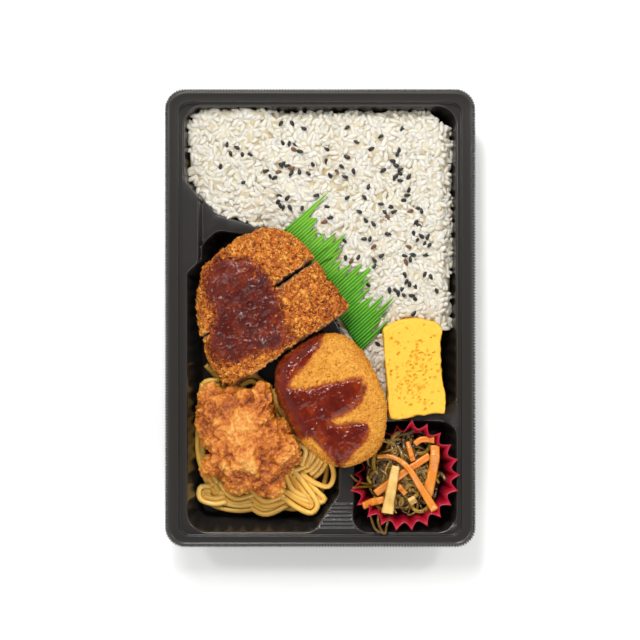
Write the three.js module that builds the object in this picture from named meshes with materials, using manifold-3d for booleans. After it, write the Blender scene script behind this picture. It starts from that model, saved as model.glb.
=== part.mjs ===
// Takeaway bento meal: a black formed tray with three wells, rice with sesame, a green grass divider,
// a sliced cutlet, a croquette and fried chicken on noodles, an omelette slice and a pleated cup of
// kelp salad with carrot and fried tofu strips. Millimetres, +Z up, +Y to the rice end of the tray.
// The origin is on the table, under the middle of the tray.
import * as THREE from 'three';
import { mergeVertices } from 'three/addons/utils/BufferGeometryUtils.js';
import Module from 'manifold-3d';

const wasm = await Module();
wasm.setup();

// Tray
const trayWidth = 179;
const trayLength = 264;
const rimHeight = 34;
const rimCornerRadius = 11.5;
const skirtDepth = 3;
const rimWidth = 7.5; // from the outer edge to the step down to the ledge
const ledgeHeight = 30.5;
const saddleHeight = 24; // top of the ridges between the wells
const sheet = 0.9; // wall and floor thickness
const wellDraft = 7; // how far a well wall leans in from the ledge to the floor
const cornerSteps = 4;
const gap = 0.3; // between pieces that touch

// Wells: corners anticlockwise, each x, y and corner radius at the ledge
const riceWell = [
  [-78.8, 122.4, 11], [-78.8, 79.3, 9], [-62, 59, 9], [-33.4, 50.6, 12],
  [-13, 33, 14], [37.2, -54, 9], [78.6, -54, 10], [78.6, 122.4, 11],
];
const sideWell = [
  [-76.8, 26, 5], [-76.8, -123.5, 12], [-4, -123.5, 10], [12.5, -103, 9], [13.5, -64.3, 9],
  [29.8, -52, 8.5], [-12, 17, 20], [-36, 48.5, 10], [-60, 52.5, 9], [-69.3, 44, 8], [-69.3, 33, 4],
];
const cupWell = [
  [18.3, -65.5, 9], [18.3, -123.5, 10], [78.6, -123.5, 11], [78.6, -58.6, 10], [29.8, -58.6, 9],
];
// The ridges between the wells are lower: the floor of that area, and its edge up at the ledge
const saddle = [[-68.2, 75, 3], [-68.2, -106, 3], [72.5, -106, 3], [72.5, 75, 3]];
const saddleEdge = [[-70.6, 75, 3], [-70.6, -122, 3], [78, -122, 3], [78, 75, 3]];

// Side dishes lean on the ridge: what they rest on rises by this slope along the ridge's normal
const ridgeNormal = new THREE.Vector2(0.86, 0.51);
const restSlope = 0.12;
const restAtRidge = saddleHeight + 1;
const croquetteRise = 0.06; // the croquette lies flatter, on the ridge's corner and the noodles
const croquetteRestX = 14;

// Outlines seen from above
const cutletOutline = [
  [-66.7, -16.9], [-70.7, 1], [-70.7, 16.1], [-66, 28.6], [-56.1, 39.1], [-42.3, 47.7], [-29.8, 52],
  [-18.6, 49.7], [-8.7, 42.1], [-0.5, 34], [8, 22], [15, 13], [20, 4], [12, -12], [-12, -34],
  [-40, -42], [-55, -37.4], [-62.5, -29],
];
const cutletCuts = [ // each knife line from left to right: middle cut, lower cut
  [[-80, -19.9], [10, 42.3]],
  [[-80, -59.2], [30, 13.4]],
];
const cutletThickness = 17;
const croquetteOutline = [
  [-0.8, -9.6], [11.4, -9.4], [21.7, -16.7], [30.9, -30.4], [36.7, -46], [37.2, -59.7], [34.5, -73],
  [25.7, -81.8], [11.4, -85], [-1.3, -79.9], [-11.6, -70.1], [-20.2, -55.2], [-26, -39.6],
  [-24.6, -27.5], [-18.4, -20.4], [-10.4, -14.4],
];
const croquetteThickness = 20;
const chickenOutline = [
  [-63.9, -43.4], [-46.1, -42.6], [-34.4, -40.4], [-29.4, -44.8], [-26.5, -56.9], [-17.3, -64.9],
  [-13.3, -77], [-21.4, -93.1], [-24.2, -102.3], [-30, -105.7], [-40.9, -99.4], [-48.9, -100.5],
  [-61, -94.2], [-69.1, -89.6], [-65.6, -75.8], [-71, -57.5], [-69.6, -47.1],
];
const chickenThickness = 24;
const chickenRings = [
  [0.5, 0], [0.8, 0.04], [0.96, 0.25], [1, 0.45], [0.93, 0.7], [0.76, 0.86], [0.5, 0.96], [0.22, 1],
];
const omeletteOutline = [
  [36.3, -7.5], [37.5, -5], [42.3, -2.5], [53.2, -0.2], [64.2, -1.8], [68.3, -3.6], [69.5, -6.6],
  [69.2, -26.2], [71.1, -40.9], [71.8, -50], [71.5, -54.4], [59.6, -55.7], [49.6, -57.3], [43.2, -58],
  [40.3, -57.1], [39.4, -53.6], [38.2, -35.4], [36.6, -15.3],
];
const omeletteRings = [[0.96, 0], [1, 0.1], [1, 0.92], [0.975, 1]];
const omeletteBottom = 16;
const omeletteTop = 37;
const omeletteNotch = [[[30, -49.5], [80, -49.5]], [[30, -70], [80, -70]]]; // it lies on the ridge here

// Thick sauce: outlines on the cutlet, over both slices, and on the croquette
const sauceDepth = 0.9;
const cutletSauce = [
  [-62.2, 31.6], [-57.3, 35.3], [-50.5, 34.1], [-42.5, 33.5], [-33.8, 27.3], [-27.6, 18], [-23.9, 13.1],
  [-22.7, 5], [-20.8, -3], [-14.6, -11], [-23.9, -17.2], [-40, -20.9], [-43.7, -24], [-52.3, -25.8],
  [-61, -23.4], [-63.5, -15.3], [-62.5, -6.7], [-59.7, 0.7], [-62.2, 7.5], [-66.2, 13.7],
  [-67.8, 20.5], [-65.9, 26.1],
];
const croquetteSauce = [
  [1.7, -9.6], [-1.1, -16.9], [-10.1, -27.6], [-17.4, -36.6], [-9, -40.5], [6.8, -37.1], [19.1, -34.3],
  [23.6, -34.6], [25.3, -39.9], [20.2, -50.6], [9, -56.8], [5.1, -58.7], [11.2, -60.7], [24.2, -60.1],
  [27, -63.5], [23.1, -72.5], [14.6, -82], [10.7, -84.3], [6.8, -80.9], [2.3, -75.9], [-1.1, -69.7],
  [-5.6, -67.4], [-10.6, -69.1], [-15.7, -64.6], [-20.8, -52.8], [-26.1, -40.5], [-25, -27.6],
  [-14.6, -17.5], [-2.2, -9],
];

// Rice and sesame
const riceTop = 27;
const riceSag = 8; // how much lower the rice is at the wall
const riceBump = 1.1;
const riceStep = 5.2; // spacing of the grain-sized bumps
const sesameLength = 3.4;
const sesameWidth = 1.9;
const sesameThickness = 1.1;
const sesameApart = 5; // only these seeds are solid, one for each close group
const sesamePlaces = [
  [-22.8, 112.5], [-16.2, 112.6], [-9.5, 109.6], [-54.1, 100.8], [-48.3, 98.8], [-45, 94.5], [-57.9, 87.8],
  [-44.3, 78.7], [-21.6, 101.3], [-14.2, 100.3], [-21, 90], [-31.4, 85.3], [-26.5, 81.1], [-16.7, 86.6],
  [-12, 84.7], [-6.9, 83.6], [-4.4, 89], [3.8, 97.7], [3.5, 90.6], [5.7, 82.4], [12.5, 87.5], [15.3, 92.8],
  [19.3, 84.7], [15.7, 109.9], [20.8, 101.9], [29.6, 97.7], [35, 104.7], [47.5, 109.5], [45.6, 97],
  [41.9, 91], [45.4, 82.4], [51.2, 81.5], [36.4, 85.4], [28, 76], [50.4, 71], [25.7, 69.8], [15.7, 69.6],
  [34.9, 66.1], [40.1, 62], [52.1, 61.8], [22.6, 61.4], [26.5, 56.6], [30.9, 55], [55.4, 55.3],
  [58.3, 46.3], [51.2, 41.2], [39.2, 48.6], [28.7, 45.7], [30.9, 41], [22, 35.1], [31.3, 33.7],
  [35.3, 35.9], [51, 34.5], [61.1, 36.4], [49, 24.9], [60.4, 25.1], [49.8, 20.9], [43.6, 15.9],
  [53, 13.1], [67, 15.7], [54.1, 2.5], [-23.7, 70.9], [-23.1, 65], [-17.4, 63.8], [-10.5, 63.4],
  [-2.3, 70.9], [4.1, 64.3], [5.9, 58], [14, 44.7], [33, -14.7],
];

// Grass divider: tips and the valleys between them, from the top end to the bottom end
const dividerThickness = 0.5;
const dividerBase = [[-21, 51.2], [23.8, -20]];
const dividerEdge = [
  [5.6, 73.5], [-7, 58], [-1.3, 58], [-6, 50], [-1.3, 51.7], [-3.5, 45], [3, 49.4], [0.5, 42],
  [9.1, 49.4], [7.2, 42], [15.4, 49.4], [6, 34], [14.2, 42.5], [6.5, 30], [12.8, 34.5], [9.8, 27],
  [18.3, 31.6], [14, 24], [24.9, 32.2], [21, 24], [31.7, 31.6], [21.5, 17], [30.6, 25.3], [21.6, 13],
  [29.8, 18.4], [21.5, 8], [30.6, 12.6], [27, 5], [36.7, 13.4], [32, 3.5], [43.5, 13.2], [32, -3],
  [41.8, 6.9], [28, -10], [40.7, -0.6],
];

// Noodles: each route's points seen from above, and how many noodles it lies on
const noodleDiameter = 3;
const noodleSides = 5;
const noodleStep = 10;
const noodleBedCentre = [-32, -48];
const noodleBedOutline = [
  [-60, 22], [-40, 28], [-22, 14], [-6, -8], [6, -30], [10, -50], [5, -72], [3, -92], [-4, -105],
  [-22, -110], [-45, -108], [-64, -106], [-68.5, -95], [-69, -60], [-66, -20], [-65, 5],
];
const noodleRoutes = [
  { lies: 0, points: [[-58.7, -36.2], [-68, -38], [-71.2, -78.7], [-63.6, -100], [-48.4, -104]] },
  { lies: 1, points: [[-65.4, -38.5], [-67.6, -57.5], [-67.6, -83.3], [-59.9, -96.5]] },
  { lies: 1, points: [[-64.2, -98.2], [-70.2, -99.4], [-70.5, -106], [-61.9, -109], [-54.7, -107.6]] },
  { lies: 0, points: [[-67.4, -100.5], [-64.2, -105.2], [-48.9, -110], [-39.2, -109.2]] },
  { lies: 1, points: [[-59.5, -95.4], [-53.7, -103.4], [-48.9, -105.7], [-36.3, -102.3]] },
  { lies: 1, points: [[-42.6, -97.7], [-32.5, -107], [-20.8, -103.4]] },
  { lies: 0, points: [[-39.2, -108.6], [-32.5, -112], [-20.2, -106.3]] },
  {
    lies: 1,
    points: [[-26.5, -101.1], [-12.6, -111.1], [-4.8, -113.6], [-1.5, -109.1], [-7.9, -98.2], [-18.5, -85]],
  },
  { lies: 0, points: [[-16.2, -81], [-9.7, -91.8], [-1.4, -101.4], [2.8, -106.2], [-3, -108.7]] },
  { lies: 1, points: [[-11.6, -90.2], [-2.1, -96.5], [5.1, -98], [7.9, -91.6], [4.5, -79.3]] },
  { lies: 0, points: [[-20.8, -90.8], [-15.6, -100.5], [-7, -104], [-3.6, -101.1]] },
  { lies: 1, points: [[-1.3, -74.7], [-6.8, -84.7], [-17.3, -89.6]] },
  { lies: 2, points: [[-17.3, -71.8], [-8.5, -75.8], [-10.9, -85.9]] },
  { lies: 0, points: [[2.8, -78.7], [-1.5, -87.1], [-5.9, -91.3]] },
  { lies: 0, points: [[-20.2, -101.1], [-9.9, -106.3], [-3.8, -107.4]] },
  { lies: 0, points: [[-27.5, -41.4], [-24.5, -51.7], [-17.9, -61.1], [-11, -71.2]] },
  { lies: 0, points: [[-47.2, -40.2], [-40.3, -37], [-33.7, -41.2]] },
];

// Pleated cup and its salad
const cupCentre = [48.3, -90.3];
const cupFloor = sheet + gap;
const cupRim = 33;
const cupFilm = 0.5;
const cupPleats = 22;
const pleatDepth = [0.6, 2.4, 3.1, 4.4]; // at each ring of the wall, from the floor up
const cupRings = [[0, 20.6], [0.5, 25.6], [0.92, 28.8], [1, 31.8]]; // height fraction and outer radius
const cupPressedTo = 25; // where the croquette lies over the rim
const cupPressedAngle = 2.42;
const saladTop = 28;
const saladEdge = 22;
const saladReach = 24; // radius at which the dome is down to its edge
const saladSides = 18;
const saladFoot = [[18, 0], [20.5, 11]]; // radius and height above the cup's floor
const saladDome = [22.6, 15, 6]; // radii of the rings on the dome
const strandDiameter = 1.8;
const strandSteps = 3;
const strandCount = 14;

// Strips on the salad, in the order they were laid: route seen from above, width at its two ends
const stripStep = 4.4;
const stripReach = 1.4; // a strip starts to rise this far before the one it crosses
const stripGap = 0.8;
const carrotStrips = [
  { widths: [4.2, 4.2], thickness: 1.8, points: [[59.4, -80.9], [48.3, -89.2], [34.2, -100.4]] },
  { widths: [5, 4.4], thickness: 1.8, points: [[63.6, -75.6], [65, -80], [65.2, -87], [62.6, -101]] },
  { widths: [3.8, 3.8], thickness: 1.7, points: [[31.4, -105.4], [37.2, -104.8]] },
  { widths: [3.1, 3.1], thickness: 1.6, points: [[51, -71.6], [52.2, -76], [53, -79.6]] },
  { widths: [3, 3], thickness: 1.6, points: [[54.8, -73.8], [57.8, -72], [60.4, -72.6]] },
  { widths: [3, 3], thickness: 1.6, points: [[45.6, -96.9], [48.8, -101.2]] },
  {
    widths: [2.2, 4.4],
    thickness: 1.8,
    points: [[32.9, -80.3], [40.1, -80], [47.2, -83], [51.8, -87.7], [56.5, -95.3], [62.6, -105.2]],
  },
];
const tofuStrips = [
  { widths: [4.4, 6.4], thickness: 2, points: [[42.9, -85.6], [40.3, -102], [39.2, -107.4]] },
  { widths: [4.4, 4.4], thickness: 2, points: [[52.2, -103.6], [54.2, -107.2]] },
];

const colours = {
  tray: 0x161514, rice: 0xece8dc, divider: 0x4fae3c, cutlet: 0xb5682c, croquette: 0xd79c49,
  chicken: 0xb8672c, noodles: 0xdcb25c, omelette: 0xf4cc4a, cup: 0xb01030, salad: 0x4f4416,
  carrot: 0xe58a2c, tofu: 0xd9b169,
};

// Random draws and noise, the same on every run
let seed = 20611;
function random() {
  seed = (seed * 48271) % 2147483647;
  return seed / 2147483647;
}

function between(low, high) {
  return low + (high - low) * random();
}

function latticeValue(i, j, k) {
  const wave = Math.sin(i * 127.1 + j * 311.7 + k * 74.7) * 43758.5453;
  return 2 * (wave - Math.floor(wave)) - 1;
}

function noise(x, y, z = 0) {
  const cell = [Math.floor(x), Math.floor(y), Math.floor(z)];
  const part = [x - cell[0], y - cell[1], z - cell[2]].map((t) => t * t * (3 - 2 * t));
  let total = 0;
  for (let corner = 0; corner < 8; corner++) {
    const step = [corner & 1, (corner >> 1) & 1, corner >> 2];
    const weight = step.reduce((product, s, axis) => product * (s ? part[axis] : 1 - part[axis]), 1);
    total += weight * latticeValue(cell[0] + step[0], cell[1] + step[1], cell[2] + step[2]);
  }
  return total;
}

function smooth(low, high, value) {
  return THREE.MathUtils.smoothstep(value, low, high);
}

// Solids
function toSolid(geometry) {
  const bare = geometry.clone();
  bare.deleteAttribute('normal');
  bare.deleteAttribute('uv');
  const merged = mergeVertices(bare, 1e-4);
  const vertProperties = new Float32Array(merged.attributes.position.array);
  const triVerts = new Uint32Array(merged.index.array);
  return new wasm.Manifold(new wasm.Mesh({ numProp: 3, vertProperties, triVerts }));
}

function toGeometry(solid) {
  const mesh = solid.getMesh();
  const geometry = new THREE.BufferGeometry();
  geometry.setAttribute('position', new THREE.BufferAttribute(new Float32Array(mesh.vertProperties), 3));
  geometry.setIndex(new THREE.BufferAttribute(new Uint32Array(mesh.triVerts), 1));
  geometry.computeVertexNormals();
  return geometry;
}

function largestPart(solid) {
  return solid.decompose().sort((a, b) => b.volume() - a.volume())[0];
}

function joined(solids) {
  return solids.reduce((whole, solid) => whole.add(solid));
}

function without(solid, others) {
  return others.reduce((rest, other) => rest.subtract(other), solid);
}

// A closed solid through loops of equally many points, the first and the last one capped
function loft(loops) {
  const count = loops[0].length;
  const positions = loops.flat().flatMap((point) => [point.x, point.y, point.z]);
  const faces = [];
  for (let level = 0; level < loops.length - 1; level++) {
    for (let i = 0; i < count; i++) {
      const a = level * count + i;
      const b = level * count + ((i + 1) % count);
      faces.push(a, b, b + count, a, b + count, a + count);
    }
  }
  const topStart = (loops.length - 1) * count;
  for (const [a, b, c] of THREE.ShapeUtils.triangulateShape(loops[0], [])) {
    faces.push(a, c, b);
  }
  for (const [a, b, c] of THREE.ShapeUtils.triangulateShape(loops[loops.length - 1], [])) {
    faces.push(topStart + a, topStart + b, topStart + c);
  }
  const geometry = new THREE.BufferGeometry();
  geometry.setAttribute('position', new THREE.Float32BufferAttribute(positions, 3));
  geometry.setIndex(faces);
  return toSolid(geometry);
}

// Corners moved inwards and rounded: a loop at height z
function roundedLoop(corners, inset, z) {
  const loop = [];
  corners.forEach(([x, y, radius], i) => {
    const before = corners[(i + corners.length - 1) % corners.length];
    const after = corners[(i + 1) % corners.length];
    const arriving = new THREE.Vector2(x - before[0], y - before[1]).normalize();
    const leaving = new THREE.Vector2(after[0] - x, after[1] - y).normalize();
    const turn = Math.atan2(arriving.cross(leaving), arriving.dot(leaving));
    const inwards = Math.atan2(arriving.x, -arriving.y);
    const outer = Math.sign(turn);
    const bend = Math.max(radius - outer * inset, 0.6);
    const reach = (inset + outer * bend) / Math.cos(turn / 2);
    const middle = inwards + turn / 2;
    const centre = new THREE.Vector2(x + reach * Math.cos(middle), y + reach * Math.sin(middle));
    for (let step = 0; step <= cornerSteps; step++) {
      const angle = inwards + (turn * step) / cornerSteps;
      const px = centre.x - outer * bend * Math.cos(angle);
      const py = centre.y - outer * bend * Math.sin(angle);
      loop.push(new THREE.Vector3(px, py, z));
    }
  });
  return loop;
}

function roundedBlock(corners, lowInset, lowZ, highInset, highZ) {
  return loft([roundedLoop(corners, lowInset, lowZ), roundedLoop(corners, highInset, highZ)]);
}

// A smooth closed curve through outline points, sampled evenly and anticlockwise
function closedCurve(outline, count) {
  const points = outline.map(([x, y]) => new THREE.Vector3(x, y, 0));
  const curve = new THREE.CatmullRomCurve3(points, true, 'centripetal');
  const loop = curve.getSpacedPoints(count).slice(0, count);
  return THREE.ShapeUtils.area(loop) > 0 ? loop : loop.reverse();
}

function prism(loop, low, high) {
  const atHeight = (z) => loop.map((point) => new THREE.Vector3(point.x, point.y, z));
  return loft([atHeight(low), atHeight(high)]);
}

// A rounded piece of food: rings of its outline, each with a scale and a height fraction
const pattyRings = [[0.6, 0], [0.93, 0.12], [1, 0.45], [0.95, 0.79], [0.8, 0.96], [0.35, 1.02]];

function patty({ outline, count, bottom, thickness, rings = pattyRings, rough = 0, grain = 8, grow = 0 }) {
  const loop = closedCurve(outline, count);
  const centre = loop.reduce((sum, point) => sum.add(point), new THREE.Vector3()).divideScalar(count);
  const loops = rings.map(([scale, level]) => loop.map((edge) => {
    const arm = edge.clone().sub(centre);
    const reach = arm.length();
    const wobble = rough * noise(edge.x / grain, edge.y / grain, level * 3);
    arm.setLength(reach * scale + grow * scale + wobble * scale);
    const point = centre.clone().add(arm);
    const lift = rough * noise(point.x / grain, point.y / grain, 9 + level) * smooth(0.3, 0.7, level);
    const z = bottom(point.x, point.y) + thickness * level + lift + grow * (2 * level - 1);
    return new THREE.Vector3(point.x, point.y, z);
  }));
  return loft(loops);
}

// A tube or strip along a route, its ends flat
function alongRoute(points, steps, section) {
  const path = new THREE.CatmullRomCurve3(points, false, 'centripetal');
  return toSolid(new THREE.ExtrudeGeometry(section, { steps, extrudePath: path, bevelEnabled: false }));
}

function roundSection(diameter, sides) {
  const corners = Array.from({ length: sides }, (_, i) => {
    const angle = (2 * Math.PI * i) / sides;
    return new THREE.Vector2(Math.cos(angle), Math.sin(angle)).multiplyScalar(diameter / 2);
  });
  return new THREE.Shape(corners);
}

// What the side dishes rest on, and what they keep clear of
function restingHeight(x, y) {
  return restAtRidge + restSlope * (ridgeNormal.x * x + ridgeNormal.y * y);
}

function croquetteRest(x) {
  return restAtRidge + croquetteRise * (x - croquetteRestX);
}

function distanceToOutline(corners, x, y) {
  const point = new THREE.Vector3(x, y, 0);
  const nearest = new THREE.Vector3();
  return Math.min(...corners.map(([ax, ay], i) => {
    const [bx, by] = corners[(i + 1) % corners.length];
    const edge = new THREE.Line3(new THREE.Vector3(ax, ay, 0), new THREE.Vector3(bx, by, 0));
    return edge.closestPointToPoint(point, true, nearest).distanceTo(point);
  }));
}

function insideOutline(corners, x, y) {
  let inside = false;
  corners.forEach(([ax, ay], i) => {
    const [bx, by] = corners[(i + 1) % corners.length];
    if ((ay > y) !== (by > y) && x < ax + ((bx - ax) * (y - ay)) / (by - ay)) {
      inside = !inside;
    }
  });
  return inside;
}

// Tray: one thin formed sheet with a rim, a skirt, a ledge and three wells
function makeTray() {
  const halfWidth = trayWidth / 2;
  const halfLength = trayLength / 2;
  const rim = [
    [-halfWidth, halfLength, rimCornerRadius], [-halfWidth, -halfLength, rimCornerRadius],
    [halfWidth, -halfLength, rimCornerRadius], [halfWidth, halfLength, rimCornerRadius],
  ];
  const wells = [riceWell, sideWell, cupWell];
  const over = 0.5; // a cutting block reaches past the face that it opens
  const wallSlope = wellDraft / (ledgeHeight - sheet);
  const flange = roundedBlock(rim, 0, rimHeight - skirtDepth, 0, rimHeight)
    .subtract(roundedBlock(rim, sheet, rimHeight - skirtDepth - over, sheet, rimHeight - sheet));
  const step = roundedBlock(rim, rimWidth - sheet, ledgeHeight - sheet, rimWidth - sheet, rimHeight);
  const walls = wells.map((well) => roundedBlock(well, wellDraft - sheet, 0, -sheet, ledgeHeight));
  const ridgeTrough = saddleBlock(-sheet, saddleHeight - sheet, ledgeHeight - sheet, ledgeHeight);
  const outside = joined([flange, step, ...walls, ridgeTrough]);
  const hollows = wells.map((well) => (
    roundedBlock(well, wellDraft, sheet, -over * wallSlope, ledgeHeight + over)
  ));
  const aboveLedge = roundedBlock(rim, rimWidth, ledgeHeight, rimWidth, rimHeight + over);
  const aboveSaddle = saddleBlock(0, saddleHeight, ledgeHeight, ledgeHeight + over);
  return without(outside, [aboveLedge, aboveSaddle, ...hollows]);
}

// The lower area round the ridges, its sides sloping up to the ledge
function saddleBlock(inset, low, high, top) {
  const edgeLoops = [high, top].map((z) => roundedLoop(saddleEdge, inset, z));
  return loft([roundedLoop(saddle, inset, low), ...edgeLoops]);
}

// Cutlet: one breaded piece cut twice, so that two slices lie with a narrow cut between them
function wholeCutlet(grow) {
  return patty({
    outline: cutletOutline, count: 32, bottom: restingHeight, thickness: cutletThickness,
    rough: 0.9, grain: 9, grow,
  });
}

function bandBetween(upper, lower, top) {
  const corners = [...lower, ...[...upper].reverse()].map(([x, y]) => new THREE.Vector3(x, y, 0));
  return prism(corners, 0, top);
}

function makeCutletSlice(index, grow = 0) {
  const reach = 100;
  const clearance = gap * 2;
  const shifted = (line, amount) => line.map(([x, y]) => [x, y + amount]);
  const upper = index === 0 ? shifted(cutletCuts[0], reach) : shifted(cutletCuts[0], grow - clearance);
  const lower = shifted(cutletCuts[index], -grow + (index === 0 ? clearance : 0));
  const band = bandBetween(upper, lower, rimHeight * 2);
  const slice = wholeCutlet(grow).intersect(band);
  const raised = wholeCutlet(sauceDepth + grow).intersect(band);
  const sauce = raised.intersect(prism(closedCurve(cutletSauce, 26), rimHeight - 4, rimHeight * 2));
  return slice.add(sauce);
}

function makeCroquette(grow = 0) {
  const shape = {
    outline: croquetteOutline, count: 24, bottom: croquetteRest, thickness: croquetteThickness,
    rough: 0.5, grain: 12,
  };
  const sauce = patty({ ...shape, grow: sauceDepth + grow })
    .intersect(prism(closedCurve(croquetteSauce, 32), rimHeight, rimHeight * 2));
  return patty({ ...shape, grow }).add(sauce);
}

function makeChicken(grow = 0) {
  return patty({
    outline: chickenOutline, count: 34, bottom: restingHeight, thickness: chickenThickness,
    rings: chickenRings, rough: 2.6, grain: 8.5, grow,
  });
}

// Omelette slice: an upright-sided slab with rounded edges
function makeOmelette(grow = 0) {
  const slab = patty({
    outline: omeletteOutline, count: 28, bottom: () => omeletteBottom,
    thickness: omeletteTop - omeletteBottom, rings: omeletteRings, grow,
  });
  const notch = bandBetween(...omeletteNotch, saddleHeight + gap);
  return grow > 0 ? slab : slab.subtract(notch);
}

// Grass divider: a thin wavy leaf in three rows, base, middle and pointed edge
function makeDivider(thickness) {
  const [start, end] = dividerBase;
  const count = dividerEdge.length;
  const rows = [0, 0.55, 1].map((reach, row) => dividerEdge.map(([x, y], i) => {
    const along = i / (count - 1);
    const baseX = THREE.MathUtils.lerp(start[0], end[0], along);
    const baseY = THREE.MathUtils.lerp(start[1], end[1], along);
    const px = THREE.MathUtils.lerp(baseX, x, reach);
    const py = THREE.MathUtils.lerp(baseY, y, reach);
    const wave = row === 0 ? 0 : 0.45 * Math.sin(along * 31) + 0.45;
    return new THREE.Vector3(px, py, dividerHeight(px, py) + wave);
  }));
  const lower = rows.flat();
  const sides = [-thickness / 2, thickness / 2];
  const positions = sides.flatMap((lift) => lower.flatMap((p) => [p.x, p.y, p.z + lift]));
  const half = lower.length;
  const faces = [];
  for (let row = 0; row < 2; row++) {
    for (let i = 0; i < count - 1; i++) {
      const a = row * count + i;
      const [b, c, d] = [a + 1, a + count + 1, a + count];
      faces.push(a, c, b, a, d, c, half + a, half + b, half + c, half + a, half + c, half + d);
    }
  }
  const last = 2 * count;
  const rim = [];
  for (let i = 0; i < count; i++) {
    rim.push(i);
  }
  rim.push(count + count - 1);
  for (let i = count - 1; i >= 0; i--) {
    rim.push(last + i);
  }
  rim.push(count);
  rim.forEach((a, i) => {
    const b = rim[(i + 1) % rim.length];
    faces.push(a, half + b, half + a, a, b, half + b);
  });
  const geometry = new THREE.BufferGeometry();
  geometry.setAttribute('position', new THREE.Float32BufferAttribute(positions, 3));
  geometry.setIndex(faces);
  return toSolid(geometry);
}

function dividerHeight(x, y) {
  const across = ridgeNormal.x * x + ridgeNormal.y * y;
  return 24.9 + 0.1 * (across - 8);
}

// Rice: a bed with bumps the size of grains, sesame seeds fused on
function riceHeight(x, y) {
  const across = ridgeNormal.x * x + ridgeNormal.y * y;
  const wall = 1 - smooth(0, 10, distanceToOutline(riceWell, x, y));
  const nearRidge = dividerHeight(x, y) - 1.3;
  const open = riceTop + 0.8 * noise(x / 24, y / 24, 5) - riceSag * wall;
  const bed = THREE.MathUtils.lerp(nearRidge, open, smooth(26, 46, across));
  return bed + riceBump * noise(x / riceStep * 1.7, y / riceStep * 1.7, 2);
}

function heightBlock(low, high, step, heightAt) {
  const columns = Math.ceil((high[0] - low[0]) / step);
  const lines = Math.ceil((high[1] - low[1]) / step);
  const geometry = new THREE.BoxGeometry(high[0] - low[0], high[1] - low[1], 1, columns, lines, 1);
  geometry.translate((low[0] + high[0]) / 2, (low[1] + high[1]) / 2, 0.5);
  const position = geometry.attributes.position;
  for (let i = 0; i < position.count; i++) {
    if (position.getZ(i) > 0.5) {
      const x = position.getX(i);
      const y = position.getY(i);
      position.setZ(i, heightAt(x, y));
    }
  }
  return toSolid(geometry);
}

function sesameSeed(x, y) {
  const seed3d = new THREE.IcosahedronGeometry(0.5, 0);
  seed3d.scale(sesameLength, sesameWidth, sesameThickness);
  seed3d.rotateY(between(-0.25, 0.25));
  seed3d.rotateZ(between(0, Math.PI));
  seed3d.translate(x, y, riceHeight(x, y) + 0.15);
  return toSolid(seed3d);
}

// Lowered until a third of it is sunk
function pressedIn(seedSolid, bed) {
  const dip = 0.15;
  let lowered = seedSolid;
  while (lowered.intersect(bed).volume() < seedSolid.volume() / 3) {
    lowered = lowered.translate([0, 0, -dip]);
  }
  return lowered;
}

function makeRice(keepClear) {
  const bottomInset = wellDraft + gap;
  const fill = roundedBlock(riceWell, bottomInset, sheet + gap, gap, ledgeHeight);
  const heights = heightBlock([-80, -56], [80, 124], riceStep, riceHeight);
  const bed = largestPart(without(fill.intersect(heights), keepClear));
  const barred = joined(keepClear);
  const placed = [];
  let rice = bed;
  for (const [x, y] of sesamePlaces) {
    const alone = placed.every(([px, py]) => Math.hypot(px - x, py - y) > sesameApart);
    if (!alone || distanceToOutline(riceWell, x, y) < 7) {
      continue;
    }
    const seedSolid = pressedIn(sesameSeed(x, y), bed);
    if (seedSolid.intersect(barred).isEmpty()) {
      rice = rice.add(seedSolid);
      placed.push([x, y]);
    }
  }
  return rice;
}

// Noodles: a bed with the noodles that show fused on top
function bedHeight(x, y) {
  const underCroquette = 1 - smooth(0.6, 1, Math.hypot((x - 4) / 32, (y + 46) / 40));
  const open = Math.min(restingHeight(x, y), 18) - 0.7;
  return THREE.MathUtils.lerp(open, Math.max(open, croquetteRest(x) - 0.7), underCroquette);
}

function makeNoodles(keepClear) {
  const rings = [[0.86, 0], [1, 0.75], [0.93, 0.97], [0.6, 1], [0.25, 1]];
  const loop = closedCurve(noodleBedOutline, 26);
  const centre = new THREE.Vector3(...noodleBedCentre, 0);
  const floor = sheet + gap;
  let heap = loft(rings.map(([scale, level]) => loop.map((edge) => {
    const point = edge.clone().sub(centre).multiplyScalar(scale).add(centre);
    const top = bedHeight(point.x, point.y) + (level > 0.9 ? 0.5 * noise(point.x / 6, point.y / 6) : 0);
    return new THREE.Vector3(point.x, point.y, floor + (top - floor) * level);
  })));
  const section = roundSection(noodleDiameter, noodleSides);
  for (const { lies, points } of noodleRoutes) {
    const lift = noodleDiameter * (0.15 + 0.55 * lies);
    const lifted = points.map(([x, y]) => new THREE.Vector3(x, y, bedHeight(x, y) + lift));
    const length = new THREE.CatmullRomCurve3(lifted).getLength();
    heap = heap.add(alongRoute(lifted, Math.ceil(length / noodleStep) + 1, section));
  }
  const well = roundedBlock(sideWell, wellDraft + gap, floor, gap, ledgeHeight);
  return largestPart(without(heap.intersect(well), keepClear));
}

// Pleated cup: a thin film, pleats growing towards the rim, pressed down under the croquette
function cupRimHeight(angle) {
  const turn = Math.atan2(Math.sin(angle - cupPressedAngle), Math.cos(angle - cupPressedAngle));
  return THREE.MathUtils.lerp(cupPressedTo, cupRim, smooth(0.45, 1.0, Math.abs(turn)));
}

function cupRadius(fraction) {
  const index = Math.max(1, cupRings.findIndex(([height]) => height >= fraction));
  const [lowHeight, lowRadius] = cupRings[index - 1];
  const [highHeight, highRadius] = cupRings[index];
  return THREE.MathUtils.mapLinear(fraction, lowHeight, highHeight, lowRadius, highRadius);
}

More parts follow.
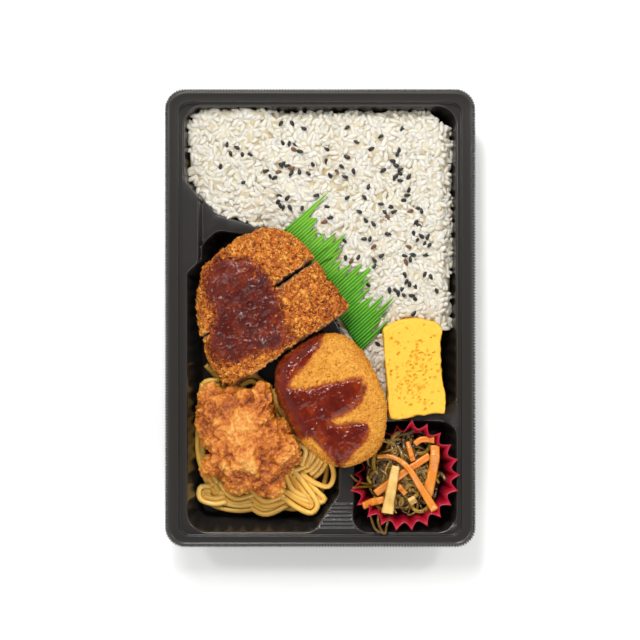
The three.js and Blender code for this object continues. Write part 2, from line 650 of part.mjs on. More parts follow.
function cupLoop(ring, inset, lift) {
  const count = cupPleats * 2;
  const [fraction] = cupRings[ring];
  return Array.from({ length: count }, (_, i) => {
    const angle = (2 * Math.PI * i) / count;
    const height = cupFloor + (cupRimHeight(angle) - cupFloor) * fraction;
    const level = (height - cupFloor) / (cupRim - cupFloor);
    const radius = cupRadius(Math.min(1, level)) - (i % 2) * pleatDepth[ring] - inset;
    const x = cupCentre[0] + radius * Math.cos(angle);
    const y = cupCentre[1] + radius * Math.sin(angle);
    return new THREE.Vector3(x, y, height + lift);
  });
}

function makeCup() {
  const rings = cupRings.map((_, ring) => ring);
  const outer = rings.map((ring) => cupLoop(ring, 0, 0));
  const inner = [...rings].reverse().map((ring) => cupLoop(ring, cupFilm, ring === 0 ? cupFilm : 0));
  return loft([...outer, ...inner]);
}

// Kelp salad: a domed core with curled strands fused on
function saladHeight(x, y) {
  const reach = Math.hypot(x - cupCentre[0], y - cupCentre[1]);
  return saladTop - (saladTop - saladEdge) * (reach / saladReach) ** 2;
}

function saladCore() {
  const ringOf = (radius, heightAt) => Array.from({ length: saladSides }, (_, i) => {
    const angle = (2 * Math.PI * i) / saladSides;
    const x = cupCentre[0] + radius * Math.cos(angle);
    const y = cupCentre[1] + radius * Math.sin(angle);
    return new THREE.Vector3(x, y, heightAt(x, y));
  });
  const floor = cupFloor + cupFilm + gap;
  return loft([
    ...saladFoot.map(([radius, lift]) => ringOf(radius, () => floor + lift)),
    ...saladDome.map((radius) => ringOf(radius, saladHeight)),
  ]);
}

function makeSalad(keepClear) {
  const barred = joined(keepClear);
  const section = roundSection(strandDiameter, 4);
  let salad = saladCore();
  let placed = 0;
  for (let tries = 0; placed < strandCount && tries < 600; tries++) {
    const reach = 20 * Math.sqrt(random());
    const around = between(0, 2 * Math.PI);
    const heading = between(0, 2 * Math.PI);
    const curl = between(-0.16, 0.16);
    const length = between(10, 19);
    const points = [];
    let x = cupCentre[0] + reach * Math.cos(around);
    let y = cupCentre[1] + reach * Math.sin(around);
    for (let step = 0; step <= strandSteps; step++) {
      points.push(new THREE.Vector3(x, y, saladHeight(x, y) + strandDiameter * 0.3));
      x += (length / strandSteps) * Math.cos(heading + curl * step * 4);
      y += (length / strandSteps) * Math.sin(heading + curl * step * 4);
    }
    const inCup = points.every((p) => Math.hypot(p.x - cupCentre[0], p.y - cupCentre[1]) < 23);
    if (!inCup) {
      continue;
    }
    const strand = alongRoute(points, strandSteps, section);
    if (strand.intersect(barred).isEmpty()) {
      salad = salad.add(strand);
      placed += 1;
    }
  }
  return largestPart(salad);
}

// Strips settle on the salad or on the strips laid before them
const laidStrips = [];

function makeStrip({ widths, thickness, points }, grow = 0, settled = null) {
  const corners = points.map(([x, y]) => new THREE.Vector3(x, y, 0));
  const flat = new THREE.CatmullRomCurve3(corners, false, 'centripetal');
  const steps = Math.max(2, Math.ceil(flat.getLength() / stripStep));
  const route = settled ?? settle(flat.getSpacedPoints(steps), Math.max(...widths), thickness);
  const halfThickness = thickness / 2 + grow;
  const loops = route.map((point, i) => {
    const before = route[Math.max(0, i - 1)];
    const after = route[Math.min(route.length - 1, i + 1)];
    const along = after.clone().sub(before).normalize();
    const side = new THREE.Vector3(-along.y, along.x, 0).normalize();
    const up = along.clone().cross(side);
    const halfWidth = THREE.MathUtils.lerp(...widths, i / (route.length - 1)) / 2 + grow;
    const section = [[-1, -1], [1, -1], [1, 1], [-1, 1]];
    return section.map(([rise, across]) => (
      point.clone().addScaledVector(side, across * halfWidth).addScaledVector(up, rise * halfThickness)
    ));
  });
  return { solid: stripThrough(loops), route };
}

// A solid through loops of four corners
function stripThrough(loops) {
  const positions = loops.flat().flatMap((p) => [p.x, p.y, p.z]);
  const faces = [];
  for (let level = 0; level < loops.length - 1; level++) {
    for (let i = 0; i < 4; i++) {
      const a = level * 4 + i;
      const b = level * 4 + ((i + 1) % 4);
      faces.push(a, b, b + 4, a, b + 4, a + 4);
    }
  }
  const end = (loops.length - 1) * 4;
  faces.push(0, 2, 1, 0, 3, 2, end, end + 1, end + 2, end, end + 2, end + 3);
  const geometry = new THREE.BufferGeometry();
  geometry.setAttribute('position', new THREE.Float32BufferAttribute(positions, 3));
  geometry.setIndex(faces);
  const solid = toSolid(geometry);
  if (solid.volume() > 0) {
    return solid;
  }
  geometry.setIndex(faces.reverse());
  return toSolid(geometry);
}

// Top of a laid strip at its nearest place to a point, where it comes close enough to be lain on
function topOfLaid({ route, width, thickness }, point, ownWidth) {
  const at = new THREE.Vector3(point.x, point.y, 0);
  const nearest = new THREE.Vector3();
  let top = 0;
  for (let i = 1; i < route.length; i++) {
    const piece = new THREE.Line3(route[i - 1].clone().setZ(0), route[i].clone().setZ(0));
    const share = piece.closestPointToPointParameter(at, true);
    if (piece.at(share, nearest).distanceTo(at) < (width + ownWidth) / 2 + stripReach) {
      top = Math.max(top, THREE.MathUtils.lerp(route[i - 1].z, route[i].z, share) + thickness / 2);
    }
  }
  return top;
}

function settle(points, width, thickness) {
  const heights = points.map((point) => {
    const tops = laidStrips.map((other) => topOfLaid(other, point, width) + stripGap);
    return Math.max(saladHeight(point.x, point.y) + stripGap, ...tops) + thickness / 2;
  });
  points.forEach((point, i) => {
    const near = heights.slice(Math.max(0, i - 1), i + 2);
    point.z = Math.max(heights[i], near.reduce((sum, value) => sum + value, 0) / near.length);
  });
  laidStrips.push({ route: points, width, thickness });
  return points;
}

// The meal
const meal = new THREE.Group();

function place(name, solid, colour, roughness) {
  const material = new THREE.MeshStandardMaterial({ color: colour, roughness, metalness: 0 });
  const mesh = new THREE.Mesh(toGeometry(solid), material);
  mesh.name = name;
  meal.add(mesh);
}

place('tray', makeTray(), colours.tray, 0.35);
place('cutlet_slice_1', makeCutletSlice(0), colours.cutlet, 0.8);
place('cutlet_slice_2', makeCutletSlice(1), colours.cutlet, 0.8);
place('croquette', makeCroquette(), colours.croquette, 0.8);
place('fried_chicken', makeChicken(), colours.chicken, 0.7);
place('omelette_slice', makeOmelette(), colours.omelette, 0.6);
place('grass_divider', makeDivider(dividerThickness), colours.divider, 0.4);

const grownSides = [makeCutletSlice(0, gap), makeCutletSlice(1, gap), makeCroquette(gap)];
const grownDivider = makeDivider(dividerThickness + 2 * gap);
place('rice', makeRice([grownDivider, makeOmelette(gap), ...grownSides]), colours.rice, 0.5);
place('noodles', makeNoodles([makeChicken(gap), ...grownSides]), colours.noodles, 0.45);
place('pleated_cup', makeCup(), colours.cup, 0.3);

const strips = [
  ...carrotStrips.map((strip, i) => ({ name: `carrot_${i + 1}`, strip, colour: colours.carrot })),
  ...tofuStrips.map((strip, i) => ({ name: `tofu_${i + 1}`, strip, colour: colours.tofu })),
];
const stripClearances = [];
for (const { name, strip, colour } of strips) {
  const { solid, route } = makeStrip(strip);
  place(name, solid, colour, 0.5);
  stripClearances.push(makeStrip(strip, gap, route).solid);
}
place('kelp_salad', makeSalad([...stripClearances, makeCroquette(gap)]), colours.salad, 0.35);

export default meal;
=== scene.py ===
import math

import bmesh
import bpy
import numpy as np
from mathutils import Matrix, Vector
from mathutils.bvhtree import BVHTree
from mathutils.geometry import delaunay_2d_cdt


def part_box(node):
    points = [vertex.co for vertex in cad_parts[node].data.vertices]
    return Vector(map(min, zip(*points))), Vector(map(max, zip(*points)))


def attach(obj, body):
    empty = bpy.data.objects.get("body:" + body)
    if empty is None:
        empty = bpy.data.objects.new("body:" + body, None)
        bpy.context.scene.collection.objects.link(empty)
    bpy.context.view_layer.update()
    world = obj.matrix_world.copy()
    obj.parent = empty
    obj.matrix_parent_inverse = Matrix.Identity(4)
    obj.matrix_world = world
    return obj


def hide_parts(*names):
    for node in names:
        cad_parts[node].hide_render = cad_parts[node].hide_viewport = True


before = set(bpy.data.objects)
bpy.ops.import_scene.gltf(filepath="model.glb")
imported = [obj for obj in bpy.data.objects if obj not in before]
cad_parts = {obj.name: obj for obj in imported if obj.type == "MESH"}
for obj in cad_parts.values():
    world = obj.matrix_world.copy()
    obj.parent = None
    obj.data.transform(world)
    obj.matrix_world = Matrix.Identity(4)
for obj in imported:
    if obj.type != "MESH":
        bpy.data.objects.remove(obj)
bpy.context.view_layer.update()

mm = 0.001
scene = bpy.context.scene
print("frame loaded:", len(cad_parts), "nodes")

# Straight above the tray, the rice end up
cameraSetup = {"height": 1.034, "x": -0.0001, "y": -0.00115, "lens": 97.9, "sensorWidth": 36}
lightSetup = {
    # how bright the sky is at each height, 0 at the horizon and 1 straight up
    "sky": [(0, 0.86), (0.6, 0.68), (0.85, 0.32), (1, 0.12)],
    "lamps": {
        "softbox": {"power": 8, "size": 0.5, "place": (-0.25, 0.8, 1.15)},
        "glint": {"power": 3.2, "size": 0.13, "place": (-0.1, 0.66, 0.8)},
        "glintLeft": {"power": 1.6, "size": 0.12, "place": (-0.6, 0.25, 0.8)},
        "glintRight": {"power": 1.6, "size": 0.12, "place": (0.55, 0.3, 0.8)},
        "fill": {"power": 7.5, "size": 1.1, "place": (0.25, -0.95, 0.95)},
    },
    "floor": (250, 250, 249),
}


def shade(red, green, blue):
    # a screen colour, 0 to 255, as a linear one
    def straight(value):
        value /= 255
        return value / 12.92 if value <= 0.04045 else ((value + 0.055) / 1.055) ** 2.4
    return (straight(red), straight(green), straight(blue), 1)


def makeCamera(setup):
    data = bpy.data.cameras.new("overheadCamera")
    data.lens = setup["lens"]
    data.sensor_width = setup["sensorWidth"]
    data.clip_start = 0.05
    data.clip_end = 20
    camera = bpy.data.objects.new("overheadCamera", data)
    camera.location = (setup["x"], setup["y"], setup["height"])
    scene.collection.objects.link(camera)
    bpy.context.scene.camera = camera


def makeLights(setup):
    world = bpy.data.worlds.new("paleStudio")
    world.use_nodes = True
    nodes, links = world.node_tree.nodes, world.node_tree.links
    split = nodes.new("ShaderNodeSeparateXYZ")
    ramp = nodes.new("ShaderNodeValToRGB")
    while len(ramp.color_ramp.elements) < len(setup["sky"]):
        ramp.color_ramp.elements.new(0.5)
    for element, (height, bright) in zip(ramp.color_ramp.elements, setup["sky"]):
        element.position = height
        element.color = (bright, bright, bright, 1)
    links.new(nodes.new("ShaderNodeTexCoord").outputs["Generated"], split.inputs[0])
    links.new(split.outputs["Z"], ramp.inputs[0])
    links.new(ramp.outputs[0], nodes["Background"].inputs["Color"])
    scene.world = world
    for name, values in setup["lamps"].items():
        data = bpy.data.lights.new(name, "AREA")
        data.energy = values["power"]
        data.size = values["size"]
        lamp = bpy.data.objects.new(name, data)
        lamp.location = values["place"]
        lamp.rotation_euler = (-lamp.location).to_track_quat("-Z", "Y").to_euler()
        scene.collection.objects.link(lamp)
    scene.view_settings.view_transform = "Standard"


# Noise, curves and meshes, all in millimetres

fullTurn = 6.28  # for random headings


def lattice(cell):
    mixed = cell[:, 0] * 73856093 ^ cell[:, 1] * 19349663 ^ cell[:, 2] * 83492791
    mixed = (mixed ^ (mixed >> 13)) * 1274126177
    return ((mixed ^ (mixed >> 16)) & 0xFFFF) / 32767.5 - 1


noiseTurn = np.array([[0.36, 0.48, -0.8], [-0.8, 0.6, 0], [0.48, 0.64, 0.6]])


def noiseAt(points, size, seed=0):
    # from -1 to 1, its lumps about size across
    at = np.asarray(points, float) @ noiseTurn / size + seed * 17.31
    cell = np.floor(at).astype(np.int64)
    part = at - cell
    part = part * part * (3 - 2 * part)
    total = np.zeros(len(at))
    for corner in range(8):
        step = np.array([corner & 1, (corner >> 1) & 1, corner >> 2])
        weight = np.prod(np.where(step, part, 1 - part), axis=1)
        total += weight * lattice(cell + step)
    return total


def layeredNoise(points, size, layers=3, seed=0):
    total = sum(noiseAt(points, size / 2 ** k, seed + k) / 2 ** k for k in range(layers))
    return total / sum(1 / 2 ** k for k in range(layers))


def creasedNoise(points, size, layers=2, seed=0):
    # rounded lumps with sharp creases between them, 0 in the creases and near 1 on the lumps
    total = sum(np.abs(noiseAt(points, size / 2 ** k, seed + k)) / 2 ** k for k in range(layers))
    return total / sum(1 / 2 ** k for k in range(layers)) * 2


def eased(low, high, value):
    part = np.clip((value - low) / (high - low), 0, 1)
    return part * part * (3 - 2 * part)


def flatPoints(points, z=0.0):
    return np.column_stack([points[:, 0], points[:, 1], np.broadcast_to(z, len(points))])


def curveThrough(points, count, closed=False):
    # evenly spaced points on a smooth curve
    points = np.asarray(points, float)
    if closed:
        guides = np.vstack([points[-1:], points, points[:2]])
    else:
        guides = np.vstack([2 * points[:1] - points[1:2], points, 2 * points[-1:] - points[-2:-1]])
    t = np.linspace(0, 1, 20, endpoint=False)[:, None]
    runs = []
    for a, b, c, d in zip(guides, guides[1:], guides[2:], guides[3:]):
        first, middle, last = (max(np.linalg.norm(q - p), 1e-6) ** 0.5 for p, q in ((a, b), (b, c), (c, d)))
        leaving = ((b - a) / first - (c - a) / (first + middle) + (c - b) / middle) * middle
        arriving = ((c - b) / middle - (d - b) / (middle + last) + (d - c) / last) * middle
        cubic = 2 * (b - c) + leaving + arriving
        square = cubic * t + 3 * (c - b) - 2 * leaving - arriving
        runs.append((square * t + leaving) * t + b)
    line = np.vstack(runs + [points[:1] if closed else points[-1:]])
    reach = np.concatenate([[0], np.cumsum(np.linalg.norm(np.diff(line, axis=0), axis=1))])
    at = np.linspace(0, reach[-1], count + 1)[:-1] if closed else np.linspace(0, reach[-1], count)
    return np.column_stack([np.interp(at, reach, line[:, k]) for k in range(line.shape[1])])


def turnedLeft(loop):
    # the loop anticlockwise as seen from above
    nextPoints = np.roll(loop, -1, axis=0)
    area = np.sum(loop[:, 0] * nextPoints[:, 1] - nextPoints[:, 0] * loop[:, 1])
    return loop if area > 0 else loop[::-1]


def insideOf(outline, points):
    inside = np.zeros(len(points), bool)
    for (ax, ay), (bx, by) in zip(outline, np.roll(outline, -1, axis=0)):
        crosses = (ay > points[:, 1]) != (by > points[:, 1])
        with np.errstate(divide="ignore", invalid="ignore"):
            inside ^= crosses & (points[:, 0] < ax + (bx - ax) * (points[:, 1] - ay) / (by - ay))
    return inside


def depthInside(outline, points):
    # distance to the outline, below 0 outside it
    nearest = np.full(len(points), 1e9)
    for a, b in zip(outline, np.roll(outline, -1, axis=0)):
        side = b - a
        share = np.clip(((points - a) @ side) / max(side @ side, 1e-12), 0, 1)
        nearest = np.minimum(nearest, np.linalg.norm(points - a - share[:, None] * side, axis=1))
    return np.where(insideOf(outline, points), nearest, -nearest)


def ringQuads(first, second, count, closed=True):
    i = np.arange(count if closed else count - 1)
    j = (i + 1) % count
    return np.column_stack([first + i, first + j, second + j, second + i])


def loftThrough(loops):
    # a closed body through loops of equally many points, from the bottom up
    count, levels = len(loops[0]), len(loops)
    faces = []
    for level in range(levels - 1):
        faces += [tuple(quad) for quad in ringQuads(level * count, (level + 1) * count, count)]
    faces.append(tuple(range(count - 1, -1, -1)))
    faces.append(tuple(range((levels - 1) * count, levels * count)))
    return np.vstack(loops), faces


def gridQuads(kept):
    # quads between the kept points of a grid, numbered in their order
    number = np.full(kept.shape, -1)
    number[kept] = np.arange(kept.sum())
    corners = [number[:-1, :-1], number[:-1, 1:], number[1:, 1:], number[1:, :-1]]
    quads = np.stack(corners, axis=-1).reshape(-1, 4)
    return quads[(quads >= 0).all(axis=1)]


def pointedFaces(sides, rings):
    # faces of a body with a point at each end and rings between
    faces = [[0, 1 + (k + 1) % sides, 1 + k] for k in range(sides)]
    for level in range(rings - 1):
        for k in range(sides):
            a, b = 1 + level * sides + k, 1 + level * sides + (k + 1) % sides
            faces += [[a, b, b + sides], [a, b + sides, a + sides]]
    last = 1 + (rings - 1) * sides
    faces += [[last + sides, last + k, last + (k + 1) % sides] for k in range(sides)]
    return np.array(faces)


def sweepTubes(routes, section, sizes):
    # one mesh of tubes; section is the shape across, sizes the scale along each route, sides x and up y
    sides = len(section)
    vertices, faces, offset = [], [], 0
    for route, size in zip(routes, sizes):
        along = np.gradient(route, axis=0)
        along /= np.linalg.norm(along, axis=1)[:, None]
        side = np.cross(np.array([0, 0, 1.0]), along)
        side /= np.maximum(np.linalg.norm(side, axis=1), 1e-6)[:, None]
        up = np.cross(along, side)
        size = np.broadcast_to(np.asarray(size, float), (len(route), 2)) if np.ndim(size) < 2 else size
        across = section[None, :, 0, None] * size[:, None, 0, None] * side[:, None, :]
        across = across + section[None, :, 1, None] * size[:, None, 1, None] * up[:, None, :]
        vertices.append((route[:, None, :] + across).reshape(-1, 3))
        for level in range(len(route) - 1):
            faces.append(ringQuads(offset + level * sides, offset + (level + 1) * sides, sides)[:, ::-1])
        last = offset + (len(route) - 1) * sides
        for k in range(1, sides - 1):
            faces.append(np.array([[offset, offset + k, offset + k + 1, offset + k + 1]]))
            faces.append(np.array([[last, last + k + 1, last + k, last + k]]))
        offset += len(route) * sides
    return np.vstack(vertices), [tuple(dict.fromkeys(row)) for row in np.vstack(faces).tolist()]


def roundSection(sides):
    angle = np.arange(sides) * 2 * math.pi / sides
    return np.column_stack([np.cos(angle), np.sin(angle)]) * 0.5


def standFrames(normals, heading, tilt, tiltHeading):
    # frames whose third axis leans by tilt from the normals and whose first axis is turned by heading
    normals = normals / np.linalg.norm(normals, axis=1)[:, None]
    helper = np.where(np.abs(normals[:, 2:3]) < 0.9, [[0, 0, 1.0]], [[1.0, 0, 0]])
    first = np.cross(helper, normals)
    first /= np.linalg.norm(first, axis=1)[:, None]
    second = np.cross(normals, first)
    lean = np.cos(tiltHeading)[:, None] * first + np.sin(tiltHeading)[:, None] * second
    up = np.cos(tilt)[:, None] * normals + np.sin(tilt)[:, None] * lean
    along = np.cos(heading)[:, None] * first + np.sin(heading)[:, None] * second
    along -= np.sum(along * up, axis=1)[:, None] * up
    along /= np.linalg.norm(along, axis=1)[:, None]
    return np.stack([along, np.cross(up, along), up], axis=2)


def copiesOf(templates, faces, places, frames, sizes, draw):
    # copies of same-topology templates, joined; returns vertices, faces and the copy that each vertex is in
    chosen = draw.integers(len(templates), size=len(places))
    shapes = np.asarray(templates)[chosen] * sizes[:, None, :]
    vertices = np.einsum("cij,cnj->cni", frames, shapes) + places[:, None, :]
    count = vertices.shape[1]
    joined = (faces[None] + (np.arange(len(places)) * count)[:, None, None]).reshape(-1, faces.shape[1])
    return vertices.reshape(-1, 3), joined, np.repeat(np.arange(len(places)), count)


def joinMeshes(parts):
    vertices, faces, offset = [], [], 0
    for partVertices, partFaces in parts:
        vertices.append(partVertices)
        faces += [tuple(int(v) + offset for v in face) for face in partFaces]
        offset += len(partVertices)
    return np.vstack(vertices), faces


def evenMesh(vertices, faces, voxel):
    # the same closed body in small even faces: vertices, faces and normals
    mesh = bpy.data.meshes.new("rough")
    mesh.from_pydata((np.asarray(vertices) * mm).tolist(), [], faces)
    rough = bpy.data.objects.new("rough", mesh)
    scene.collection.objects.link(rough)
    modifier = rough.modifiers.new("even", "REMESH")
    modifier.mode = "VOXEL"
    modifier.voxel_size = voxel * mm
    fine = bpy.data.meshes.new_from_object(rough.evaluated_get(bpy.context.evaluated_depsgraph_get()))
    places = np.zeros(len(fine.vertices) * 3)
    fine.vertices.foreach_get("co", places)
    normals = np.zeros(len(fine.vertices) * 3)
    fine.vertex_normals.foreach_get("vector", normals)
    found = [tuple(face.vertices) for face in fine.polygons]
    bpy.data.objects.remove(rough)
    bpy.data.meshes.remove(fine)
    return places.reshape(-1, 3) / mm, found, normals.reshape(-1, 3)


def surfaceOf(*nodes):
    vertices, faces = [], []
    for node in nodes:
        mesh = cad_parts[node].data
        offset = len(vertices)
        vertices += [v.co / mm for v in mesh.vertices]
        faces += [[v + offset for v in p.vertices] for p in mesh.polygons]
    return BVHTree.FromPolygons(vertices, faces)


def treeOf(vertices, faces):
    rows = faces if isinstance(faces, list) else faces.tolist()
    return BVHTree.FromPolygons(np.asarray(vertices).tolist(), rows)


def castAlong(tree, starts, direction, missing):
    heights = np.full(len(starts), missing)
    for i, start in enumerate(starts):
        hit = tree.ray_cast(Vector(start), direction)[0]
        if hit is not None:
            heights[i] = hit.z
    return heights


def castDown(tree, points, missing=np.nan):
    above = 120.0
    return castAlong(tree, flatPoints(points, above), Vector((0, 0, -1)), missing)


def castUp(tree, points):
    return castAlong(tree, points, Vector((0, 0, 1)), np.nan)


# Materials and pieces


def makeMaterial(name, look):
    # colours run over the piece's tone and the mottle; bumps are (size, depth) in mm
    material = bpy.data.materials.new(name)
    material.use_nodes = True
    tree = material.node_tree
    shader = tree.nodes["Principled BSDF"]
    place = tree.nodes.new("ShaderNodeTexCoord").outputs["Object"]

    def noiseNode(size, detail):
        noise = tree.nodes.new("ShaderNodeTexNoise")
        noise.inputs["Scale"].default_value = 1 / (size * mm)
        noise.inputs["Detail"].default_value = detail
        tree.links.new(place, noise.inputs["Vector"])
        return noise.outputs["Fac"]

    def mathNode(kind, *values):
        node = tree.nodes.new("ShaderNodeMath")
        node.operation = kind
        for socket, value in zip(node.inputs, values):
            if isinstance(value, (int, float)):
                socket.default_value = value
            else:
                tree.links.new(value, socket)
        return node.outputs[0]

    tone = tree.nodes.new("ShaderNodeAttribute")
    tone.attribute_name = "tone"
    amount = tone.outputs["Fac"]
    for size, strength in look.get("mottle", []):
        amount = mathNode("MULTIPLY_ADD", noiseNode(size, 3), strength, amount)
    amount = mathNode("SUBTRACT", amount, sum(strength for _, strength in look.get("mottle", [])) / 2)
    normal = None
    if "grooves" in look:  # straight embossed lines: heading in degrees, spacing, depth and change of tone, which is painted shade in the grooves and painted light on the ridges
        heading, spacing, depth, tint = look["grooves"]
        dot = tree.nodes.new("ShaderNodeVectorMath")
        dot.operation = "DOT_PRODUCT"
        dot.inputs[1].default_value = (-math.sin(math.radians(heading)), math.cos(math.radians(heading)), 0)
        tree.links.new(place, dot.inputs[0])
        wave = mathNode("SINE", mathNode("MULTIPLY", dot.outputs["Value"], 2 * math.pi / (spacing * mm)))
        bump = tree.nodes.new("ShaderNodeBump")
        bump.inputs["Distance"].default_value = depth * mm
        tree.links.new(wave, bump.inputs["Height"])
        normal = bump.outputs["Normal"]
        # painted shade and light: the tone follows the embossed relief
        amount = mathNode("MULTIPLY_ADD", wave, tint, amount)
    ramp = tree.nodes.new("ShaderNodeValToRGB")
    while len(ramp.color_ramp.elements) < len(look["colours"]):
        ramp.color_ramp.elements.new(0.5)
    for element, (position, colour) in zip(ramp.color_ramp.elements, look["colours"]):
        element.position = position
        element.color = shade(*colour)
    tree.links.new(amount, ramp.inputs[0])
    tree.links.new(ramp.outputs[0], shader.inputs["Base Color"])
    for size, depth in look.get("bumps", []):
        bump = tree.nodes.new("ShaderNodeBump")
        bump.inputs["Distance"].default_value = depth * mm
        tree.links.new(noiseNode(size, 2), bump.inputs["Height"])
        if normal is not None:
            tree.links.new(normal, bump.inputs["Normal"])
        normal = bump.outputs["Normal"]
    if normal is not None:
        tree.links.new(normal, shader.inputs["Normal"])
    for socket, value in look["finish"].items():
        shader.inputs[socket].default_value = value
    return material


def makePiece(name, vertices, faces, look, tone=0.5, nodes=(), slot=None):
    mesh = bpy.data.meshes.new(name)
    rows = faces if isinstance(faces, list) else faces.tolist()
    mesh.from_pydata((np.asarray(vertices, float) * mm).tolist(), [], rows)
    mesh.polygons.foreach_set("use_smooth", [True] * len(mesh.polygons))
    mesh.materials.append(makeMaterial(name, look))
    values = np.broadcast_to(np.asarray(tone, np.float32), len(mesh.vertices)).astype(np.float32)
    mesh.attributes.new("tone", "FLOAT", "POINT").data.foreach_set("value", values)
    piece = bpy.data.objects.new(name, mesh)
    scene.collection.objects.link(piece)
    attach(piece, "root")
    if nodes:
        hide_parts(*nodes)
    print(name, "made:", len(mesh.polygons), "faces")
    return piece


def thicken(piece, thickness, offset):
    sheet = piece.modifiers.new("sheet", "SOLIDIFY")
    sheet.thickness = thickness * mm
    sheet.offset = offset


# Tray: a thin formed sheet

tray = {
    "width": 179, "length": 264, "cornerRadius": 11.5, "sheet": 0.9,
    "ledge": 30.5, "ridgeTop": 24, "floor": 0.9, "draft": 7,
    "knurlDepth": 1.3, "rimPoints": 2040,  # four points a tooth
    "flutePitch": 7.8, "fluteDepth": 1.1,
    "ridgeArea": (-68.2, 72.5, -106, 75),  # left, right, bottom, top
    "leftRamp": 2.4, "rightRamp": 5.5, "rightRibs": 3, "ribPitch": 2.2, "ribCount": 7,
    # rim profile from the outer edge inwards: inset and height
    "rim": [
        (1.75, 33.7), (1.95, 34.2), (2.2, 34.4), (2.5, 34.4), (2.75, 34.0), (3.0, 33.9), (7.5, 33.9),
        (7.75, 33.9), (7.95, 33.8), (8.1, 33.3), (8.2, 32.2), (8.3, 31.2), (8.45, 30.6), (8.7, 30.5),
        (9.2, 30.5),
    ],
    "rimTopShare": 0.9, "rimBottomShare": 0.74,  # the rim is narrower there
    # top edge of a well wall: depth below the ledge, and how far it is rolled outwards
    "roll": [(0, 0.8), (0.1, 0.45), (0.35, 0.18), (0.8, 0.04), (1.5, 0)],
    "footRadius": 3,
}
trayLook = {
    "colours": [(0, (32, 30, 28)), (1, (44, 41, 38))],
    "mottle": [(30, 0.3)],
    "bumps": [(0.7, 0.012)],
    "finish": {"Roughness": 0.27, "Specular IOR Level": 0.55},
}
riceWell = [
    (-78.8, 122.4, 11), (-78.8, 79.3, 9), (-62, 59, 9), (-33.4, 50.6, 12),
    (-13, 33, 14), (37.2, -54, 9), (78.6, -54, 10), (78.6, 122.4, 11),
]
sideWell = [
    (-76.8, 26, 5), (-76.8, -123.5, 12), (-4, -123.5, 10), (12.5, -103, 9), (13.5, -64.3, 9),
    (29.8, -52, 8.5), (-12, 17, 20), (-36, 48.5, 10), (-60, 52.5, 9), (-69.3, 44, 8), (-69.3, 33, 4),
]
cupWell = [(18.3, -65.5, 9), (18.3, -123.5, 10), (78.6, -123.5, 11), (78.6, -58.6, 10), (29.8, -58.6, 9)]


def roundedArcs(corners, inset, steps):
    arcs = []
    for i, (x, y, radius) in enumerate(corners):
        before = np.array(corners[i - 1][:2])
        after = np.array(corners[(i + 1) % len(corners)][:2])
        here = np.array([x, y], float)
        arriving = (here - before) / np.linalg.norm(here - before)
        leaving = (after - here) / np.linalg.norm(after - here)
        turn = math.atan2(arriving[0] * leaving[1] - arriving[1] * leaving[0], arriving @ leaving)
        inwards = math.atan2(arriving[0], -arriving[1])
        outer = math.copysign(1, turn)
        bend = max(radius - outer * inset, 0.6)
        reach = (inset + outer * bend) / math.cos(turn / 2)
        centre = here + reach * np.array([math.cos(inwards + turn / 2), math.sin(inwards + turn / 2)])
        angle = inwards + turn * np.linspace(0, 1, steps + 1)
        arcs.append(centre - outer * bend * np.column_stack([np.cos(angle), np.sin(angle)]))
    return arcs


def roundedLoop(corners, inset, spacing, steps=14):
    # every inset gives as many points, at the same places along the loop
    arcs = roundedArcs(corners, inset, steps)
    plain = roundedArcs(corners, 0, steps)
    loop = []
    for i, arc in enumerate(arcs):
        j = (i + 1) % len(arcs)
        parts = max(1, round(np.linalg.norm(plain[j][0] - plain[i][-1]) / spacing))
        share = np.linspace(0, 1, parts + 1)[1:-1, None]
        loop += [arc, arc[-1] + (arcs[j][0] - arc[-1]) * share]
    return np.vstack(loop)


def ledgeHeight(points):
    # the ledge, lowered between the wells, with ribs like stairs at the bottom end
    left, right, bottom, top = tray["ridgeArea"]
    x, y = points[:, 0], points[:, 1]
    rightRib = np.clip((x - right) / tray["rightRamp"], 0, 1) * tray["rightRibs"]
    rightSide = (np.floor(rightRib) + eased(0.4, 0.6, rightRib % 1)) / tray["rightRibs"]
    leftSide = eased(0, tray["leftRamp"], left - x)
    sides = np.maximum.reduce([leftSide, np.clip(rightSide, 0, 1), eased(0, 0.8, y - top)])
    climb = np.clip((bottom - 0.6 - y) / tray["ribPitch"], 0, tray["ribCount"])
    whole = np.floor(climb)
    stairs = (whole + eased(0.4, 0.6, climb - whole)) / tray["ribCount"]
    return tray["ridgeTop"] + (tray["ledge"] - tray["ridgeTop"]) * np.maximum(sides, np.clip(stairs, 0, 1))


